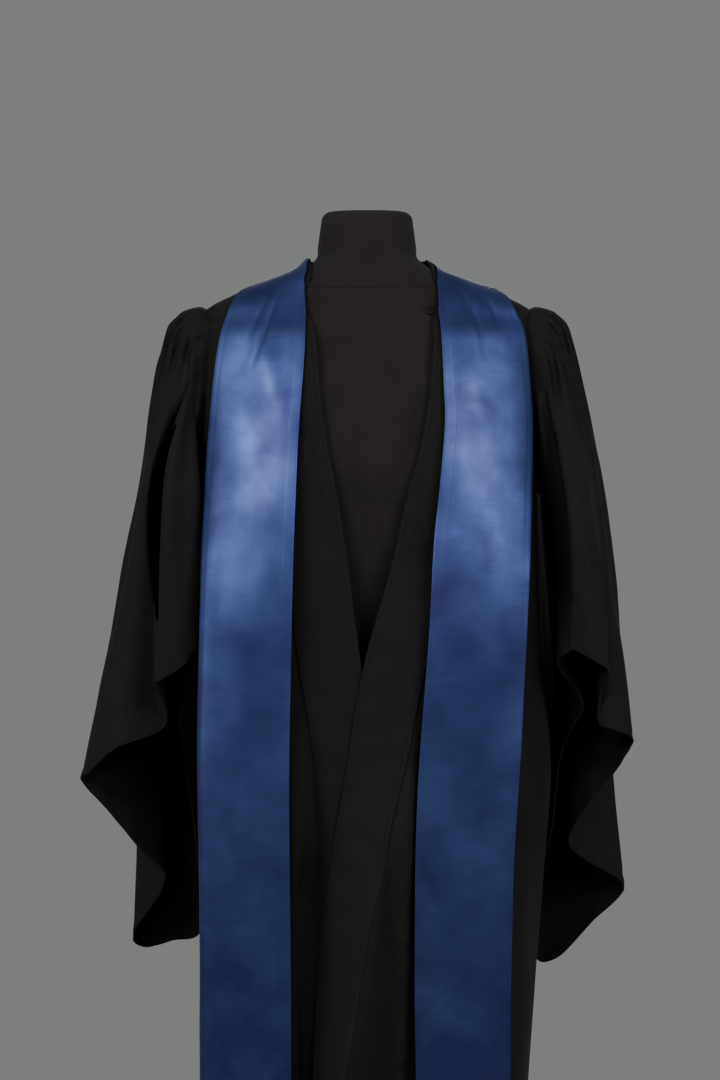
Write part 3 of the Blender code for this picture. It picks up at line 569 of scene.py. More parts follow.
def creased(lines, point, normal):
    """How far the creases lift the cloth at a point."""
    lift = 0.0
    for crease, points, lengths, box in lines:
        axis, towards = VIEWS[crease.seen]
        x, z = point[axis], point.z
        if not (box[0] < x < box[1] and box[2] < z < box[3]):
            continue
        shown = ease(0.0, 0.35, normal.dot(towards))
        if not shown:
            continue
        here = Vector((x, z))
        near, along = 1e9, 0.0
        for i in range(len(points) - 1):
            step = points[i + 1] - points[i]
            f = min(max((here - points[i]).dot(step) / step.length_squared, 0.0), 1.0)
            away = (here - points[i] - step * f).length
            if away < near:
                near, along = away, (lengths[i] + step.length * f) / lengths[-1]
        start, end = crease.fade
        strength = ease(0, start, along) if start else 1.0
        strength *= ease(1, 1 - end, along) if end else 1.0
        lift += shown * crease.depth * strength * math.exp(-(near / crease.width) ** 2)
    return lift


DRAPE_LONGER = 3.2


def soft_drape(point, size, height, seed):
    """Slow uneven waves of hanging cloth, longer down than across."""
    place = Vector((point.x / size, point.y / size, point.z / (DRAPE_LONGER * size) + seed))
    return height * noise.noise(place)


# %% Helpers for pieces
SHARP = math.radians(50)


def new_piece(name, points, faces, finish):
    """An object with a mesh of its own."""
    mesh = bpy.data.meshes.new(name)
    mesh.from_pydata(points, [], faces)
    mesh.materials.append(finish)
    piece = bpy.data.objects.new(name, mesh)
    bpy.context.scene.collection.objects.link(piece)
    return piece


def select_only(piece):
    bpy.ops.object.select_all(action="DESELECT")
    piece.select_set(True)
    bpy.context.view_layer.objects.active = piece


def finish_shape(piece):
    """Applies every modifier of a piece and smooths it up to its sharp edges."""
    select_only(piece)
    for modifier in list(piece.modifiers):
        bpy.ops.object.modifier_apply(modifier=modifier.name)
    bpy.ops.object.shade_smooth_by_angle(angle=SHARP)


def round_edges(piece, width, segments, angle):
    """A Bevel modifier for the edges that are sharper than an angle in degrees."""
    bevel = piece.modifiers.new("edges", "BEVEL")
    bevel.width = width
    bevel.segments = segments
    bevel.limit_method = "ANGLE"
    bevel.angle_limit = math.radians(angle)


def settle(piece, node):
    """Puts a finished piece in the place of its node."""
    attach(piece, "root")
    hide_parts(node)


# %% From a grid to a piece
TURNED_MORE = 0.0009
CUT_EDGE = 0.0004


def sew(name, grid, wall, finish, around=False, left_open=None, turned=None):
    """Piece of cloth along a grid; turned(r, c) is 0 to 1 where the cloth is folded over."""
    rows, columns = len(grid), len(grid[0])
    ends = columns if around else columns - 1
    faces, corners = [], []
    middle = grid[rows // 2]
    across = lengths_along(middle + middle[:1])
    up = lengths_up(grid)
    for r in range(rows - 1):
        for c in range(ends):
            if left_open and left_open(r, c):
                continue
            d = (c + 1) % columns
            faces.append((r * columns + c, r * columns + d, (r + 1) * columns + d, (r + 1) * columns + c))
            corners += [(across[c], up[r][c]), (across[c + 1], up[r][d]),
                        (across[c + 1], up[r + 1][d]), (across[c], up[r + 1][c])]
    used = sorted({i for face in faces for i in face})
    index = {old: new for new, old in enumerate(used)}
    flat = [point for row in grid for point in row]
    piece = new_piece(name, [flat[i] for i in used], [[index[i] for i in face] for face in faces], finish)
    threads = piece.data.uv_layers.new(name="threads")
    for loop, corner in zip(threads.data, corners):
        loop.uv = corner
    hem = piece.vertex_groups.new(name="turned")
    thin = wall / (wall + TURNED_MORE)
    for old in used:
        folded = turned(old // columns, old % columns) if turned else 0.0
        hem.add([index[old]], thin + (1 - thin) * folded, "REPLACE")
    solid = piece.modifiers.new("wall", "SOLIDIFY")
    solid.thickness = wall / thin
    solid.offset = 0
    solid.vertex_group = hem.name
    round_edges(piece, CUT_EDGE, 2, 60)
    finish_shape(piece)
    area = sum(polygon.area for polygon in piece.data.polygons) / 2
    print(name, "triangles", len(piece.data.polygons) * 2, "area", round(area, 4))
    return piece


# %% [markdown]
# ## Stitches
#
# Sewing shows as rows of short threads that dip into the cloth. One stitch is a small spindle
# with pointed ends, and a row of them follows a line on the cloth. A row is one joined mesh,
# because a separate object for each stitch would be thousands of objects.

# %% One row of stitches
STITCH, STITCH_GAP, THREAD = 0.0026, 0.0008, 0.00028
STITCH_THICK = (0.28, 0.72)   # parts of a stitch's length between which it has its full width


def stitch_rows(name, paths, finish, above):
    """Stitches along paths of (point, normal) pairs, lying above the cloth's middle."""
    points, faces = [], []
    for path in paths:
        lengths = lengths_along([point for point, _ in path])
        count = int(lengths[-1] / (STITCH + STITCH_GAP))
        k = 0
        for i in range(count):
            ends = []
            for at in (i * (STITCH + STITCH_GAP), i * (STITCH + STITCH_GAP) + STITCH):
                while k < len(path) - 2 and lengths[k + 1] < at:
                    k += 1
                f = (at - lengths[k]) / max(lengths[k + 1] - lengths[k], 1e-9)
                normal = path[k][1].lerp(path[k + 1][1], f).normalized()
                ends.append((path[k][0].lerp(path[k + 1][0], f), normal))
            (start, up), (end, _) = ends
            run = (end - start).normalized()
            side = run.cross(up).normalized()
            first = len(points)
            points.append(start + up * (above - THREAD))
            for f in STITCH_THICK:
                centre = start.lerp(end, f) + up * above
                for a in range(4):
                    angle = math.pi / 2 * a
                    points.append(centre + (up * math.cos(angle) + side * math.sin(angle)) * THREAD)
            points.append(end + up * (above - THREAD))
            for a in range(4):
                b = (a + 1) % 4
                faces.append((first, first + 1 + b, first + 1 + a))
                faces.append((first + 1 + a, first + 1 + b, first + 5 + b, first + 5 + a))
                faces.append((first + 5 + a, first + 5 + b, first + 9))
    piece = new_piece(name, points, faces, finish)
    select_only(piece)
    bpy.ops.object.mode_set(mode="EDIT")
    bpy.ops.mesh.select_all(action="SELECT")
    bpy.ops.mesh.normals_make_consistent(inside=False)
    bpy.ops.object.mode_set(mode="OBJECT")
    piece.data.shade_smooth()
    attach(piece, "root")
    print(name, "stitches", len(points) // 10)
    return piece


def line_down(grid, normals, column):
    """Path of points and normals down a column of a grid."""
    return [(line[column], normal[column]) for line, normal in zip(grid, normals)]


def line_across(grid, normals, row):
    return list(zip(grid[row], normals[row]))


# %% Hems
HEM, SKIRT_HEM = 0.009, 0.025
PUCKER, PUCKER_ROWS, PUCKERS_A_METRE = 0.0019, 5, 95


def hem_line(grid, normals, distance):
    """Path of points and normals along a grid at a distance above its hem."""
    path = []
    up = lengths_up(grid)
    for c in range(len(grid[0])):
        r = next(r for r in range(1, len(grid)) if up[r][c] >= distance)
        f = (distance - up[r - 1][c]) / (up[r][c] - up[r - 1][c])
        normal = normals[r - 1][c].lerp(normals[r][c], f).normalized()
        path.append((grid[r - 1][c].lerp(grid[r][c], f), normal))
    return path


def folded_below(grid, distance):
    """Tells where a grid's cloth is turned up: 1 below a distance from its hem."""
    up = lengths_up(grid)
    return lambda r, c: 1.0 if up[r][c] < distance else 0.0


def pucker(point, r):
    """Small uneven puckers that the hem's stitches pull into the lowest rows."""
    return PUCKER * ease(PUCKER_ROWS, 0, r) * noise.noise(point * PUCKERS_A_METRE)


# %% [markdown]
# ## Black cloth
#
# The gown's cloth is a matt black plain weave with a faint soft sheen where it turns towards
# the light. Two crossed sets of fine bands on the UV map make the threads, slow noise
# makes them uneven, and the shader's own sheen gives the soft edge light of fibres.

# %% Finish of the gown
def black_cloth():
    finish = Finish("black_gown_cloth", 0.78)
    threads = finish.threads()
    warp, weft = (finish.bands(threads, 0.0007, axis) for axis in "XY")
    weave = finish.add("Math", {0: warp, 1: weft}, operation="MULTIPLY")
    slow = finish.noise(finish.place(), 9.0, 3.0)
    slub = finish.noise(finish.add("Mapping", {"Vector": threads, "Scale": (900.0, 60.0, 1.0)}), 1.0, 2.0)
    dark, light = (0.0052, 0.0047, 0.0048), (0.0086, 0.0079, 0.0080)
    finish.feed({
        "Base Color": finish.ramp(finish.total(slow, slub), [(0.7, dark), (1.3, light)]),
        "Roughness": finish.ranged(slow, 0.70, 0.84),
        "Sheen Weight": 0.012,
        "Sheen Roughness": 0.45,
        "Specular IOR Level": 0.10,
    })
    finish.bump(finish.total(weave, slub), 0.25, 0.0004)
    return finish.material


GOWN_CLOTH = black_cloth()

# %% [markdown]
# ## Blue satin
#
# Satin shows long floating threads that mirror the light in the dye's own colour. So the
# shader is mostly a dark blue mirror with a soft rough lobe, stretched a little across the
# threads. Fine ribs run across the stole, and the tone shifts in soft patches. Painted shade
# also darkens the colour towards the stole's lower ends.

# %% Finish of the stole
def blue_satin():
    finish = Finish("blue_satin", 0.40, 0.9)
    threads, place = finish.threads(), finish.place()
    ribs = finish.bands(threads, 0.0011, "Y", {"Distortion": 1.6, "Detail": 3.0, "Detail Scale": 0.9})
    patches = finish.noise(place, 17.0, 4.0, {"Roughness": 0.5, "Distortion": 0.25})
    slub = finish.noise(finish.add("Mapping", {"Vector": threads, "Scale": (25.0, 900.0, 1.0)}), 1.0, 3.0)
    faint = finish.add("Math", {0: slub, 1: 0.25}, operation="MULTIPLY")
    # Painted shade: the height term below darkens the colour from 0.90 m down to 0.58 m, in place of the
    # light that falls off lower down. The patches and slubs are the satin's own uneven tone.
    height = finish.add("SeparateXYZ", {"Vector": place}, "Z")
    low = finish.ranged(height, -0.16, 0.0, 0.58, 0.90)
    tone_and_painted_shade = finish.total(finish.total(patches, faint), low)
    stops = [(0.38, (0.018, 0.025, 0.110)), (0.62, (0.033, 0.049, 0.172)), (0.88, (0.054, 0.082, 0.260))]
    finish.feed({
        "Base Color": finish.ramp(tone_and_painted_shade, stops),
        "Roughness": finish.ranged(patches, 0.50, 0.40, 0.3, 0.7),
        "Coat Weight": 0.22,
        "Coat Roughness": 0.36,
        "Anisotropic": 0.3,
        "Specular IOR Level": 0.5,
        "Tangent": finish.add("Tangent", direction_type="UV_MAP", uv_map="threads"),
    })
    finish.bump(finish.total(ribs, slub), 0.10, 0.00025)
    return finish.material


STOLE_SATIN = blue_satin()


# %% Sewing thread
def thread_finish(name, dark, light):
    finish = Finish(name, 0.55)
    inputs = {"Vector": finish.place(), "Scale": 900.0}
    twist = finish.add("TexWave", inputs, "Fac", bands_direction="DIAGONAL")
    colour = finish.ramp(twist, [(0.2, dark), (0.8, light)])
    finish.feed({"Base Color": colour, "Specular IOR Level": 0.15})
    return finish.material


BLACK_THREAD = thread_finish("black_thread", (0.003, 0.003, 0.003), (0.007, 0.007, 0.007))
BLUE_THREAD = thread_finish("blue_thread", (0.012, 0.036, 0.120), (0.026, 0.072, 0.210))


def black_stitches(name, paths):
    """Stitches that lie on the gown's cloth."""
    return stitch_rows(name, paths, BLACK_THREAD, WALL / 2 + 0.0002)

# %% [markdown]
# ## Fronts and their bands
#
# Each front hangs from the yoke seam and has a band about 70 mm wide along its opening edge.
# The right front lies over the left one, and its edge turns edge-on lower down. The band is
# a second layer on the front's own first columns, so that the two always follow each other.

# %% Relief of a front, from its lap, turned edge and long folds
def opening(side, height):
    heights = [row.height for row in OPENING]
    edges = smooth(heights, [row[1:] for row in OPENING], height)
    return edges[0] if side == RIGHT else edges[1]


def band_shows(side, height):
    return straight(TURNED_BAND, height) if side == RIGHT else BAND_WIDTH


def front_relief(side, across, height, edge):
    relief = 0.0
    if side == RIGHT:
        shows = band_shows(side, height)
        relief += 2 * PITCH * ease(*LAP_STARTS, height) * ease(*LAP_ACROSS, across)
        ridge = math.sqrt(max(BAND_WIDTH**2 - shows**2, 0.0))
        past = across - edge - shows
        relief += ridge * (1 + past / shows if past < 0 else math.exp(-(past / RIDGE_SPREAD) ** 2))
    for fold in FRONT_FOLDS:
        if side == LEFT and fold.low_across > 0:
            continue
        f = (fold.top_height - height) / (fold.top_height - FOLD_FOOT)
        centre = fold.top_across + (fold.low_across - fold.top_across) * min(f, 1.0)
        away = (side * across - centre) / fold.width
        relief += fold.depth * ease(0.0, 0.45, f) * math.exp(-away**2)
    return relief


def armhole_turn(height, back):
    """Turn of the armhole's front or back edge at a height; 90 under the arm."""
    if height <= ARMPIT:
        return 90.0
    edge = ARMHOLE[6:11] if back else ARMHOLE[6:1:-1]
    return straight([(place[1], place[0]) for place in edge], height)


def seam_turn(height):
    """Half the gap of the side seam as a turn: none below the armhole."""
    return 0.0 if height <= ARMPIT else math.degrees(ARMHOLE_SEAM / HALF_WIDTH)


# %% Creases of the fronts, as they show beside the stole
FRONT_CREASES = {
    LEFT: (
        Crease(((-0.062, 0.85), (-0.072, 0.76), (-0.074, 0.58)), 0.012, -0.0150, (0.3, 0.0)),
        Crease(((-0.074, 1.33), (-0.050, 1.20), (-0.030, 1.08)), 0.010, -0.0016),
        Crease(((-0.052, 0.98), (-0.036, 0.84), (-0.030, 0.66)), 0.008, 0.0030),
    ),
    RIGHT: (
        Crease(((0.060, 1.02), (0.046, 0.88), (0.040, 0.62)), 0.008, 0.0030),
        Crease(((0.024, 0.85), (0.025, 0.77), (0.020, 0.67)), 0.008, -0.0100, (0.3, 0.5)),
        Crease(((0.185, 1.10), (0.196, 0.90), (0.190, 0.60)), 0.009, -0.0030),
    ),
}

# %% Grid of a front
BAND_FINE = 15
FRONT_FINE = 56
FRONT_HEIGHTS = spread(BODY[0].height, YOKE_SEAM, 184)
SEAM_HOLDS, SIDE_HOLDS = 0.06, 10   # metres and columns in which the seams keep the cloth flat
CRINKLE_WIDTH, CRINKLE_HEIGHT, CRINKLE_DEPTH = 0.05, 0.026, 0.0015


def front_sheet(side):
    lines = crease_lines(FRONT_CREASES[side])
    grid = []
    for height in FRONT_HEIGHTS:
        t = row_at(height)
        edge = opening(side, height)
        outer = edge + band_shows(side, height)
        turns = [turn_at(side, across, t) for across in spread(edge, outer, BAND_FINE)]
        end = armhole_turn(height, back=False) - seam_turn(height)
        turns += spread(turns[-1], end, FRONT_FINE)[1:]
        row = []
        for turn in turns:
            point = on_body(side * turn, t)
            point.y -= front_relief(side, side * point.x, point.z, edge)
            row.append(point)
        grid.append(row if side == RIGHT else row[::-1])
    last = len(grid[0]) - 1

    def relief(r, c, point, normal):
        held = ease(YOKE_SEAM, YOKE_SEAM - SEAM_HOLDS, point.z)
        beside = c if side == RIGHT else last - c
        at_side = ease(0, SIDE_HOLDS, last - beside)
        crinkled = ease(BAND_FINE + 1, BAND_FINE - 2, beside)
        place = (point.x / CRINKLE_WIDTH, 3 * side, point.z / CRINKLE_HEIGHT)
        crinkle = CRINKLE_DEPTH * crinkled * noise.noise(place)
        drape = soft_drape(point, 0.06, 0.0022, side) + soft_drape(point, 0.021, 0.0006, 4 * side)
        return held * at_side * (creased(lines, point, normal) + drape + crinkle)

    return moved(grid, relief)


def band_sheet(side, front):
    """The front's own columns under the band, moved out by the pitch between two layers."""
    normals = facing(front)
    pick = slice(0, BAND_FINE) if side == RIGHT else slice(-BAND_FINE, None)
    return [
        [point + normal * PITCH for point, normal in zip(row[pick], line[pick])]
        for row, line in zip(front, normals)
    ]


for side, word in ((LEFT, "left"), (RIGHT, "right")):
    grid = front_sheet(side)
    front = sew(f"front_{word}_cloth", grid, WALL, GOWN_CLOTH, turned=folded_below(grid, SKIRT_HEM))
    band_grid = band_sheet(side, grid)
    band = sew(f"band_{word}_cloth", band_grid, WALL, GOWN_CLOTH, turned=folded_below(band_grid, HEM))
    hem = black_stitches(f"front_{word}_hem_stitches", [hem_line(grid, facing(grid), SKIRT_HEM)])
    settle(front, f"front_{word}")
    settle(band, f"band_{word}")
    normals = facing(band_grid)
    columns = (1, BAND_FINE - 2) if side == RIGHT else (BAND_FINE - 2, 1)
    rows = [line_down(band_grid, normals, column) for column in columns]
    seams = black_stitches(f"band_{word}_stitches", rows)

# %% [markdown]
# ## Yoke
#
# The yoke is the fitted top piece that lies on the form's shoulders and carries all the rest.
# It is smooth, because the form fills it.

# %% Yoke
def yoke_turns(side):
    turns = spread(NECK_EDGE[side][0][0], YOKE_BEND, 21) + spread(YOKE_BEND, ARMHOLE_FRONT, 25)[1:]
    turns += spread(ARMHOLE_FRONT, ARMHOLE_BACK, 37)[1:] + spread(ARMHOLE_BACK, YOKE_CORNER, 21)[1:]
    return turns + spread(YOKE_CORNER, 180, 29)[1:]


def yoke_sheet():
    columns = [(RIGHT, turn) for turn in yoke_turns(RIGHT)]
    columns += [(LEFT, turn) for turn in yoke_turns(LEFT)[-2::-1]]
    grid = []
    for f in spread(0.0, 1.0, 27):
        row = []
        for side, turn in columns:
            low = row_at(straight(YOKE_EDGE, turn))
            high = row_at(straight(NECK_EDGE[side], turn))
            row.append(on_body(side * turn, low + (high - low) * f))
        grid.append(row)
    return grid


grid = yoke_sheet()
neck_row = len(grid) - 3
yoke = sew("yoke_cloth", grid, WALL, GOWN_CLOTH, turned=lambda r, c: 1.0 if r >= neck_row else 0.0)
settle(yoke, "yoke")
normals = facing(grid)
rows = [line_across(grid, normals, row) for row in (1, neck_row - 1)]
seams = black_stitches("yoke_stitches", rows)

# %% [markdown]
# ## Gathered back
#
# The back is a wide straight width of cloth that is gathered into the yoke, so it falls in
# many soft tubes. They start narrow and close under the yoke and open on the way down.

# %% Back panel
BACK_GATHERS = 20
BACK_GATHER_DEPTH = 0.010
GATHER_FINE = 12
BACK_FINE = spread(0.0, 1.0, 130)
TO_ARMPIT = 0.83   # part of the back's rows that lie below the armpits


def back_sheet():
    width = 360 - 2 * ARMHOLE_BACK
    parts = spread(0.0, 1.0, GATHER_FINE * BACK_GATHERS + 1)
    grid = []
    for f in BACK_FINE:
        row = []
        for u in parts:
            top_turn = ARMHOLE_BACK + width * u
            top = straight(YOKE_EDGE, min(top_turn, 360 - top_turn)) - GATHERED_SEAM
            if f < TO_ARMPIT:
                at = BODY[0].height + (ARMPIT - BODY[0].height) * f / TO_ARMPIT
            else:
                at = ARMPIT + (top - ARMPIT) * (f - TO_ARMPIT) / (1 - TO_ARMPIT)
            side_turn = armhole_turn(min(at, BACK_CORNER), back=True) + seam_turn(at)
            turn = side_turn + (360 - 2 * side_turn) * u
            depth = BACK_GATHER_DEPTH * (0.25 + 0.75 * ease(1.30, 0.50, at)) * ease(0.0, 0.045, top - at)
            depth *= ease(0.10, 0.28, u) * ease(0.10, 0.28, 1 - u)
            uneven = u + 0.006 * math.sin(17 * u) + 0.004 * math.sin(41 * u)
            wave = math.cos(2 * math.pi * BACK_GATHERS * uneven)
            row.append(on_body(turn, row_at(at), depth * (1 + wave)))
        grid.append(row)

    def relief(r, c, point, normal):
        held = ease(0.0, 0.05, grid[-1][c].z - point.z) * ease(0, 12, min(c, len(parts) - 1 - c))
        return held * soft_drape(point, 0.05, 0.0026, 7)

    return moved(grid, relief)


grid = back_sheet()
back = sew("back_cloth", grid, WALL, GOWN_CLOTH, turned=folded_below(grid, SKIRT_HEM))
settle(back, "back_panel")
seams = black_stitches("back_hem_stitches", [hem_line(grid, facing(grid), SKIRT_HEM)])

# %% [markdown]
# ## Sleeves
#
# Each sleeve is a long open tube from the armhole to a hem with deep points, with a slit in
# front for the arm. It hangs from its gathered head. Every main fold has its own row in the
# table, and smooth curves run down each fold and round from fold to fold.

# %% Sleeves
FOLD_FINE = 9
SLEEVE_FINE = spread(0.0, 0.16, 33) + spread(0.16, 1.0, 85)[1:]
HEAD_GATHERS = 1.35
HEAD_GATHER_DEPTH = 0.0035


def armhole(place):
    """Turn and height at a place of the armhole, which is numbered like a clock."""
    whole = math.floor(place)
    a, b = ARMHOLE[whole % 12], ARMHOLE[(whole + 1) % 12]
    f = place - whole
    return a[0] + f * (b[0] - a[0]), a[1] + f * (b[1] - a[1])


def sleeve_stations(side, numbers):
    """Where one fold starts in the armhole, its head, its middle and its hem."""
    place, *hang = numbers
    turn, height = armhole(place)
    turn += (90 - turn) * ARMHOLE_INSET
    height += ((SHOULDER + ARMPIT) / 2 - height) * ARMHOLE_INSET
    ring = on_body(side * turn, row_at(height))
    lift = (ring.z - ARMPIT) / (SHOULDER - ARMPIT)
    head_out = HEAD_OUT * (HEAD_OUT_LOW + (1 - HEAD_OUT_LOW) * lift**3)
    head_drop = HEAD_DROP * (HEAD_DROP_LOW + (1 - HEAD_DROP_LOW) * lift)
    head = ring + Vector((side * head_out, HEAD_DEEPER * ring.y, -head_drop))
    middle = (side * hang[0], hang[1], hang[2])
    hem = (side * hang[3], hang[4], hang[5])
    crown = ring.lerp(head, CROWN_OUT)
    crown.z = ring.z - CROWN_DROP * head_drop
    puff = ring.lerp(head, PUFF_OUT)
    puff.z = ring.z + PUFF_RISE * lift**3
    return (ring, puff, crown, head, middle, hem), lift


# %% Creases of the sleeves: gathers under the shoulder, and a few long soft folds
def head_creases(side):
    """Gathers on the outer side and the back of a sleeve's head, each a little different."""
    seen = "right" if side == RIGHT else "left"
    made = []
    for i, y in enumerate((-0.044, -0.030, -0.019, -0.005, 0.008, 0.020, 0.033, 0.046)):
        low = 1.36 - 0.05 * ((i * 5 + side) % 3)
        points = ((0.85 * y, 1.442), (y, 1.415), (1.25 * y, low + 0.02), (1.3 * y, low - 0.06))
        width, depth = 0.0042 + 0.0008 * (i % 3), -0.0030 - 0.0007 * (i * 3 % 4)
        made.append(Crease(points, width, depth, (0.0, 0.6), seen))
    for i, x in enumerate((0.186, 0.199, 0.212, 0.226)):
        low = 1.30 + 0.04 * (i * 2 % 3)
        points = ((side * (x - 0.008), 1.436 - 0.004 * i), (side * x, 1.40), (side * (x + 0.004), low))
        made.append(Crease(points, 0.0045, -0.0035 + 0.0006 * i, (0.0, 0.6), "back"))
    for y, z in ((-0.030, 1.30), (0.012, 1.33), (0.045, 1.28)):
        points = ((y, z), (1.1 * y, z - 0.16), (0.8 * y, z - 0.30))
        made.append(Crease(points, 0.011, -0.0035, (0.3, 0.4), seen))
    return tuple(made)


SLEEVE_CREASES = {
    LEFT: (
        Crease(((-0.184, 1.438), (-0.195, 1.431), (-0.203, 1.418), (-0.2066, 1.390), (-0.2055, 1.363),
                (-0.2078, 1.318)), 0.0038, -0.0048, (0.0, 0.45)),
        Crease(((-0.184, 1.431), (-0.189, 1.425), (-0.193, 1.405), (-0.192, 1.369), (-0.196, 1.340),
                (-0.200, 1.283)), 0.0034, -0.0044, (0.0, 0.5)),
        Crease(((-0.183, 1.424), (-0.186, 1.398), (-0.187, 1.363), (-0.1906, 1.318)),
               0.0030, -0.0036, (0.0, 0.5)),
        Crease(((-0.186, 1.444), (-0.197, 1.441), (-0.211, 1.430), (-0.219, 1.412), (-0.2227, 1.386),
                (-0.224, 1.340)), 0.0044, -0.0036, (0.0, 0.5)),
        Crease(((-0.190, 1.449), (-0.2055, 1.445), (-0.224, 1.428), (-0.232, 1.404), (-0.235, 1.363)),
               0.0046, -0.0030, (0.0, 0.5)),
        Crease(((-0.203, 1.363), (-0.204, 1.283), (-0.2066, 1.180), (-0.210, 1.088)), 0.0060, -0.0022),
        Crease(((-0.262, 1.240), (-0.282, 1.080), (-0.296, 0.980)), 0.0130, -0.0030),
    ),
    RIGHT: (
        Crease(((0.184, 1.431), (0.196, 1.428), (0.214, 1.400), (0.2155, 1.339), (0.2235, 1.285)),
               0.0048, -0.0050, (0.0, 0.4)),
        Crease(((0.186, 1.441), (0.2017, 1.436), (0.2178, 1.4186), (0.2292, 1.390), (0.235, 1.349)),
               0.0042, -0.0046, (0.0, 0.45)),
        Crease(((0.184, 1.424), (0.197, 1.415), (0.2074, 1.400), (0.212, 1.385)),
               0.0032, -0.0034, (0.0, 0.5)),
        Crease(((0.189, 1.447), (0.2063, 1.4386), (0.2327, 1.4105), (0.2453, 1.369), (0.2556, 1.319)),
               0.0056, -0.0036, (0.0, 0.5)),
        Crease(((0.1830, 1.420), (0.190, 1.390), (0.1960, 1.344)), 0.0036, -0.0034, (0.0, 0.5)),
        Crease(((0.2625, 1.211), (0.2705, 1.109), (0.2751, 1.026)), 0.0070, 0.0024),
        Crease(((0.226, 1.302), (0.236, 1.297), (0.247, 1.285)), 0.0050, -0.0014),
        Crease(((0.228, 1.286), (0.240, 1.276), (0.246, 1.262)), 0.0050, -0.0012),
    ),
}


def sleeve_sheet(side, folds):
    lines = crease_lines(SLEEVE_CREASES[side] + head_creases(side))
    rows = [fold[1:] for fold in folds]
    ringed = [(rows[-1][0] + 12, *rows[-1][1:])] + rows + [(row[0] - 12, *row[1:]) for row in rows[:2]]
    stations = list(range(-1, len(rows) + 2))
    count = FOLD_FINE * len(rows)
    columns = [smooth(stations, ringed, i / FOLD_FINE) for i in range(count)]
    hung = [sleeve_stations(side, numbers) for numbers in columns]
    grid = []
    for f in reversed(SLEEVE_FINE):
        points = [Vector(smooth(SLEEVE_STATIONS, places, f)) for places, _ in hung]
        centre = sum(points, Vector()) / count
        row = []
        for numbers, (_, lift), point in zip(columns, hung, points):
            away = point - centre
            away.z = 0
            fades = ease(0.0, 0.06, f) * ease(0.45, 0.13, f) * max(lift, 0.0) ** 2
            wave = math.cos(2 * math.pi * HEAD_GATHERS * numbers[0])
            row.append(point + away.normalized() * HEAD_GATHER_DEPTH * fades * wave)
        grid.append(row if side == RIGHT else row[::-1])
    held = [ease(0.0, 0.10, f) for f in reversed(SLEEVE_FINE)]

    def relief(r, c, point, normal):
        drape = soft_drape(point, 0.05, 0.0024, 3 * side) + soft_drape(point, 0.018, 0.0006, 2 * side)
        return held[r] * (creased(lines, point, normal) + drape) + pucker(point, r)

    return moved(grid, relief, around=True)


def slit_faces(side, folds):
    """Tells which faces of a sleeve's grid are left open for its slit."""
    count = FOLD_FINE * len(folds)
    open_rows = {i for i, f in enumerate(reversed(SLEEVE_FINE)) if SLIT[0] + 1e-6 < f <= SLIT[1] + 1e-6}
    if side == RIGHT:
        open_columns = set(range(count - FOLD_FINE, count))
    else:
        open_columns = {*range(count - 1 - FOLD_FINE // 3, count), *range(FOLD_FINE - 1)}
    return lambda r, c: r in open_rows and c in open_columns


for side, word, folds in ((LEFT, "left", SLEEVE_LEFT), (RIGHT, "right", SLEEVE_RIGHT)):
    grid = sleeve_sheet(side, folds)
    sleeve = sew(f"sleeve_{word}_cloth", grid, WALL, GOWN_CLOTH, around=True,
                 left_open=slit_faces(side, folds), turned=folded_below(grid, HEM))
    settle(sleeve, f"sleeve_{word}")
    ring = hem_line(grid, facing(grid, around=True), HEM)
    seams = black_stitches(f"sleeve_{word}_stitches", [ring + ring[:1]])

# %% [markdown]
# ## Stole
#
# The stole is a long flat strip, 100 mm wide, folded from satin and topstitched 10 mm in from
# both edges. It is in two halves that meet at the centre back. It lies round the neck and
# hangs in front, a little away from the gown.

# %% Stole
STOLE_WIDTH, TOPSTITCH = 0.10, 0.010
STOLE_COLUMNS, STOLE_STEP = 45, 0.0055
SEAM_DIP, SEAM_DIP_WIDTH = 0.0003, 0.0014
STOLE_CREASES = {
    LEFT: (
        Crease(((-0.098, 1.472), (-0.108, 1.440), (-0.1206, 1.404), (-0.134, 1.365)),
               0.0026, -0.0020, (0.25, 0.6)),
        Crease(((-0.112, 1.465), (-0.124, 1.436), (-0.138, 1.400)), 0.0028, -0.0014, (0.3, 0.6)),
        Crease(((-0.122, 1.418), (-0.108, 1.350), (-0.090, 1.290)), 0.0140, 0.0020, (0.3, 0.5)),
        Crease(((-0.150, 1.360), (-0.128, 1.290), (-0.118, 1.200)), 0.0180, -0.0022, (0.4, 0.4)),
    ),
    RIGHT: (
        Crease(((0.100, 1.480), (0.112, 1.455), (0.118, 1.420)), 0.0034, -0.0014, (0.3, 0.6)),
        Crease(((0.122, 1.470), (0.143, 1.447), (0.152, 1.415)), 0.0034, -0.0014, (0.3, 0.6)),
        Crease(((0.118, 1.455), (0.1294, 1.415), (0.132, 1.380)), 0.0028, -0.0016, (0.3, 0.6)),
        Crease(((0.104, 1.400), (0.124, 1.330), (0.156, 1.270)), 0.0160, 0.0020, (0.4, 0.5)),
    ),
}


def stole_edges(side):
    """Turn and height of both edges of the stole, from the centre back to its end."""
    edges = list(STOLE_BEHIND + STOLE_RIDGE[side])
    places = list(STOLE_SHOULDER[side])
    for strap in STOLE_FRONT:
        inner, outer = strap[1:3] if side == RIGHT else strap[3:5]
        places.append((inner, strap.height, outer, strap.height))
    for inner, height, outer, outer_height in places:
        turn = turn_at(side, inner, row_at(height))
        edges.append((turn, height, turn_at(side, outer, row_at(outer_height)), outer_height))
    return edges


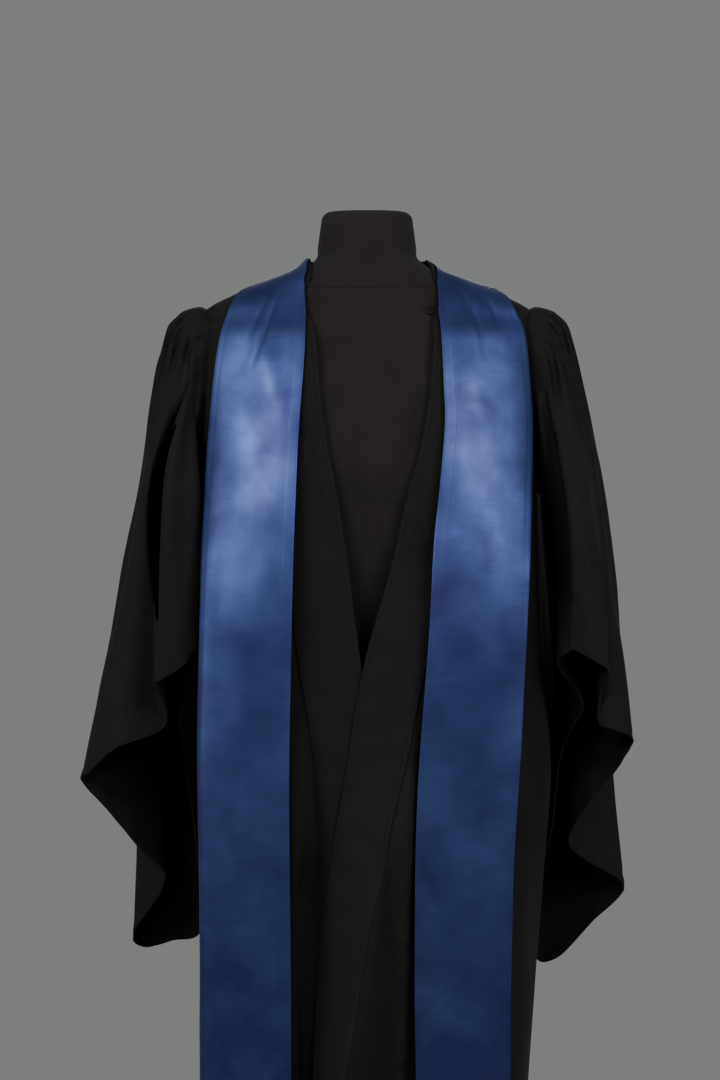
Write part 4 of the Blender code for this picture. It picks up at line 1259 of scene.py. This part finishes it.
def stole_point(side, edges, f, across):
    turn, height, outer_turn, outer_height = smooth(range(len(edges)), edges, f)
    turn += (outer_turn - turn) * across
    height += (outer_height - height) * across
    t = row_at(max(height, BODY[0].height))
    clear = STOLE_ON_YOKE + (STOLE_ON_FRONT - STOLE_ON_YOKE) * ease(1.478, 1.448, height)
    point = on_body(side * turn, t, clear)
    free = ease(HANG_TOP, HANG_FREE, height) if f > STOLE_WRAPS else 0.0
    if free:
        hang = -level(t).front - HANG_CLEAR + HANG_CURL * across**2
        point.y += (hang - point.y) * free
    return point


def stole_sheet(side):
    lines = crease_lines(STOLE_CREASES[side])
    edges = stole_edges(side)
    last = len(edges) - 1
    steps = []
    for k in range(last, 0, -1):
        a = stole_point(side, edges, k, 0.5)
        b = stole_point(side, edges, k - 1, 0.5)
        count = max(round((a - b).length / STOLE_STEP), 2)
        steps += spread(k, k - 1, count + 1)[:-1]
    steps.append(0.0)
    grid = []
    for f in steps:
        row = [stole_point(side, edges, f, across) for across in spread(0.0, 1.0, STOLE_COLUMNS)]
        grid.append(row if side == RIGHT else row[::-1])

    def relief(r, c, point, normal):
        across = c / (STOLE_COLUMNS - 1) * STOLE_WIDTH
        sewn = math.exp(-((min(across, STOLE_WIDTH - across) - TOPSTITCH) / SEAM_DIP_WIDTH) ** 2)
        held = ease(1.49, 1.42, point.z)
        drape = held * soft_drape(point, 0.060, 0.0013, 11 * side)
        drape += soft_drape(point, 0.022, 0.00040, 5 * side)
        return creased(lines, point, normal) + drape - SEAM_DIP * sewn

    return moved(grid, relief)


for side, word in ((LEFT, "left"), (RIGHT, "right")):
    grid = stole_sheet(side)
    stole = sew(f"stole_{word}_satin", grid, STOLE_WALL, STOLE_SATIN)
    settle(stole, f"stole_{word}")
    normals = facing(grid)
    column = round(TOPSTITCH / STOLE_WIDTH * (STOLE_COLUMNS - 1))
    rows = [line_down(grid, normals, column), line_down(grid, normals, STOLE_COLUMNS - 1 - column)]
    rows.append(hem_line(grid, normals, TOPSTITCH)[column:-column])
    rows.append(line_across(grid, normals, len(grid) - 2))
    seams = stitch_rows(f"stole_{word}_stitches", rows, BLUE_THREAD, STOLE_WALL / 2 + 0.0001)

# %% [markdown]
# ## Dress form
#
# The form is a padded torso under a black knitted cover that ends in a flat-topped neck. It
# is smooth and whole, and most of it is hidden. The knit has fine ribs that run up and down.

# %% Knitted cover
def black_jersey():
    finish = Finish("black_jersey", 0.9)
    ribs = finish.bands(finish.threads(), 0.0012, "X", {"Distortion": 0.4})
    slow = finish.noise(finish.place(), 24.0, 4.0)
    dark, light = (0.0125, 0.0098, 0.0112), (0.0175, 0.0138, 0.0155)
    finish.feed({
        "Base Color": finish.ramp(slow, [(0.3, dark), (0.7, light)]),
        "Sheen Weight": 0.02,
        "Sheen Roughness": 0.5,
        "Specular IOR Level": 0.12,
    })
    finish.bump(finish.total(ribs, slow), 0.3, 0.0004)
    return finish.material


FORM_JERSEY = black_jersey()

# %% Torso
FORM = (
    (0.800, 0.150, 0.098, 0.104),
    (0.808, 0.160, 0.106, 0.112),
    (0.860, 0.168, 0.112, 0.122),
    (0.930, 0.168, 0.108, 0.122),
    (1.010, 0.150, 0.098, 0.104),
    (1.080, 0.140, 0.096, 0.096),
    (1.160, 0.150, 0.106, 0.106),
    (1.250, 0.168, 0.114, 0.120),
    (1.330, 0.180, 0.112, 0.120),
)
FORM_SHOULDERS = (
    (1.385, 0.0120), (1.410, 0.0080), (1.430, 0.0050), (1.444, 0.0040), (1.454, 0.0020),
    (1.464, 0.0013), (1.474, 0.0010), (1.484, 0.0011), (1.494, 0.0012),
)
NECK = (
    (1.507, 0.0600, 0.0570, 0.0585),
    (1.522, 0.0575, 0.0550, 0.0560),
    (1.548, 0.0540, 0.0535, 0.0535),
    (1.556, 0.0525, 0.0515, 0.0515),
    (1.560, 0.0490, 0.0470, 0.0470),
)
FORM_TURNS = 120
FORM_RADIUS = 0.14   # middling, for the width of the knit's ribs


def form_rings():
    """Rings of the torso, the shoulders under the cloth and the neck, from the bottom up."""
    turns = [360 * i / FORM_TURNS for i in range(FORM_TURNS)]
    rings = []
    for height, across, front, back in FORM:
        rings.append([outline(t, across, across, front, back, height) for t in turns])
    for height, clear in FORM_SHOULDERS:
        rings.append([on_body(t, row_at(height), -WALL / 2 - clear) for t in turns])
    for height, across, front, back in NECK:
        rings.append([outline(t, across, across, front, back, height) for t in turns])
    return rings


def lofted(name, rings, finish):
    """Closed solid through level rings, with a UV map in metres."""
    count = len(rings[0])
    points = [point for ring in rings for point in ring]
    faces = [tuple(range(count))[::-1]]
    for r in range(len(rings) - 1):
        for c in range(count):
            d = (c + 1) % count
            faces.append((r * count + c, r * count + d, (r + 1) * count + d, (r + 1) * count + c))
    top = (len(rings) - 1) * count
    faces.append(tuple(range(top, top + count)))
    piece = new_piece(name, points, faces, finish)
    mesh = piece.data
    threads = mesh.uv_layers.new(name="threads")
    around = 2 * math.pi * FORM_RADIUS / count
    for polygon in mesh.polygons:
        for k, loop in enumerate(polygon.loop_indices):
            point = mesh.vertices[mesh.loops[loop].vertex_index].co
            c = polygon.index - 1
            if len(polygon.vertices) == 4:
                threads.data[loop].uv = ((c % count + (k in (1, 2))) * around, point.z)
            else:
                threads.data[loop].uv = (point.x, point.y)
    return piece


def finer(rings, steps):
    """More rings on smooth curves through the given ones."""
    stations = range(len(rings))
    made = []
    for i in range(steps * (len(rings) - 1) + 1):
        made.append([Vector(smooth(stations, column, i / steps)) for column in zip(*rings)])
    return made


NECK_SEAM, SEAM_GROOVE = 1.470, 0.0009


def with_neck_seam(rings):
    """The rings with three more, for the groove where the neck's cover is sewn on."""
    k = next(i for i, ring in enumerate(rings) if ring[0].z > NECK_SEAM)
    grooved = []
    for part, depth in ((0.2, 0.0), (0.5, SEAM_GROOVE), (0.8, 0.0)):
        ring = []
        for low, high in zip(rings[k - 1], rings[k]):
            point = low.lerp(high, part)
            ring.append(point - Vector((point.x, point.y, 0)).normalized() * depth)
        grooved.append(ring)
    return rings[:k] + grooved + rings[k:]


torso = lofted("form_cover", with_neck_seam(finer(form_rings(), 4)), FORM_JERSEY)
finish_shape(torso)
settle(torso, "form_torso")

# %% [markdown]
# ## Stand
#
# The form stands on a steel pole with a round weighted base, painted black. The base is a disc
# whose top rises in two slopes to a collar, so it starts as a cylinder, and its top face is
# inset and lifted step by step. A Bevel modifier rounds the turned edges.

# %% Painted steel
def painted_steel():
    finish = Finish("black_painted_steel", 0.42, 0.3)
    place = finish.place()
    rub = finish.noise(place, 30.0, 5.0)
    dark, light = (0.012, 0.012, 0.013), (0.028, 0.028, 0.030)
    finish.feed({
        "Base Color": finish.ramp(rub, [(0.35, dark), (0.75, light)]),
        "Roughness": finish.ranged(rub, 0.34, 0.55),
    })
    finish.bump(finish.noise(place, 700.0, 2.0), 0.15, 0.0003)
    return finish.material


STAND_PAINT = painted_steel()

# %% Helpers for turned pieces
JOINT = 0.0004


def turned_piece(name, radius, low, high, sides):
    """A cylinder between two heights, with its object at the origin."""
    bpy.ops.object.select_all(action="DESELECT")
    middle = (0, 0, (low + high) / 2)
    bpy.ops.mesh.primitive_cylinder_add(vertices=sides, radius=radius, depth=high - low, location=middle)
    bpy.ops.object.transform_apply(location=True, rotation=True, scale=True)
    piece = bpy.context.object
    piece.name = name
    piece.data.materials.append(STAND_PAINT)
    return piece


def select_top(piece):
    """Selects the level face at the top of a piece, and leaves it in edit mode."""
    bpy.ops.object.mode_set(mode="EDIT")
    bpy.ops.mesh.select_mode(type="FACE")
    bpy.ops.mesh.select_all(action="DESELECT")
    bpy.ops.object.mode_set(mode="OBJECT")
    top = max(polygon.center.z for polygon in piece.data.polygons)
    for polygon in piece.data.polygons:
        polygon.select = polygon.normal.z > 0.99 and polygon.center.z > top - 1e-6
    bpy.ops.object.mode_set(mode="EDIT")


def rounded(piece, width, node):
    """Rounds the sharp edges of a piece and puts it in its node's place."""
    round_edges(piece, width, 3, 20)
    finish_shape(piece)
    settle(piece, node)
    print(piece.name, "faces", len(piece.data.polygons))


# %% Base, pole and the knob on the neck
BASE_RADIUS, BASE_EDGE, COLLAR_TOP = 0.175, 0.008, 0.055
BASE_STEPS = ((0.070, 0.006), (0.071, 0.008), (0.004, 0.004))   # inset, then how far it rises
POLE_RADIUS, NUB_RADIUS, NUB_HEIGHT = 0.0175, 0.0055, 0.004

base = turned_piece("stand_base", BASE_RADIUS, 0.0, BASE_EDGE, 128)
for inset, rise in BASE_STEPS:
    select_top(base)
    bpy.ops.mesh.inset(thickness=inset, depth=0)
    bpy.ops.transform.translate(value=(0, 0, rise))
    bpy.ops.object.mode_set(mode="OBJECT")
select_top(base)
risen = BASE_EDGE + sum(rise for _, rise in BASE_STEPS)
bpy.ops.mesh.extrude_region_move(TRANSFORM_OT_translate={"value": (0, 0, COLLAR_TOP - risen)})
bpy.ops.object.mode_set(mode="OBJECT")
rounded(base, 0.0013, "form_base")

pole = turned_piece("stand_pole", POLE_RADIUS, COLLAR_TOP + JOINT, FORM[0][0] - JOINT, 72)
rounded(pole, 0.0006, "form_pole")
neck_top = NECK[-1][0]
knob = turned_piece("neck_knob", NUB_RADIUS, neck_top + JOINT, neck_top + NUB_HEIGHT, 40)
rounded(knob, 0.0012, "form_nub")

# %% [markdown]
# ## Loop at the neck
#
# A small thread loop stands at the right front's edge, where the gown would be hooked shut.
# It is a torus of thread that is stretched to the oval of the real loop.

# %% Neck loop
LOOP_ACROSS, LOOP_HEIGHT = 0.0720, 1.4440
LOOP_HALF_WIDTH, LOOP_HALF_HEIGHT, LOOP_THREAD = 0.0042, 0.0052, 0.0009

t = row_at(LOOP_HEIGHT)
centre = on_body(turn_at(RIGHT, LOOP_ACROSS, t), t)
centre.y -= front_relief(RIGHT, centre.x, centre.z, opening(RIGHT, centre.z))
bpy.ops.object.select_all(action="DESELECT")
bpy.ops.mesh.primitive_torus_add(major_radius=LOOP_HALF_WIDTH, minor_radius=LOOP_THREAD,
                                 major_segments=48, minor_segments=12,
                                 rotation=(math.pi / 2, 0, 0), location=centre)
bpy.ops.object.transform_apply(location=True, rotation=True, scale=True)
loop = bpy.context.object
loop.name = "neck_thread_loop"
loop.data.materials.append(BLACK_THREAD)
bpy.ops.object.mode_set(mode="EDIT")
bpy.ops.mesh.select_all(action="SELECT")
bpy.ops.transform.resize(value=(1, 1, LOOP_HALF_HEIGHT / LOOP_HALF_WIDTH), center_override=centre)
bpy.ops.object.mode_set(mode="OBJECT")
finish_shape(loop)
settle(loop, "neck_loop")
print("loop at", [round(v, 4) for v in centre])
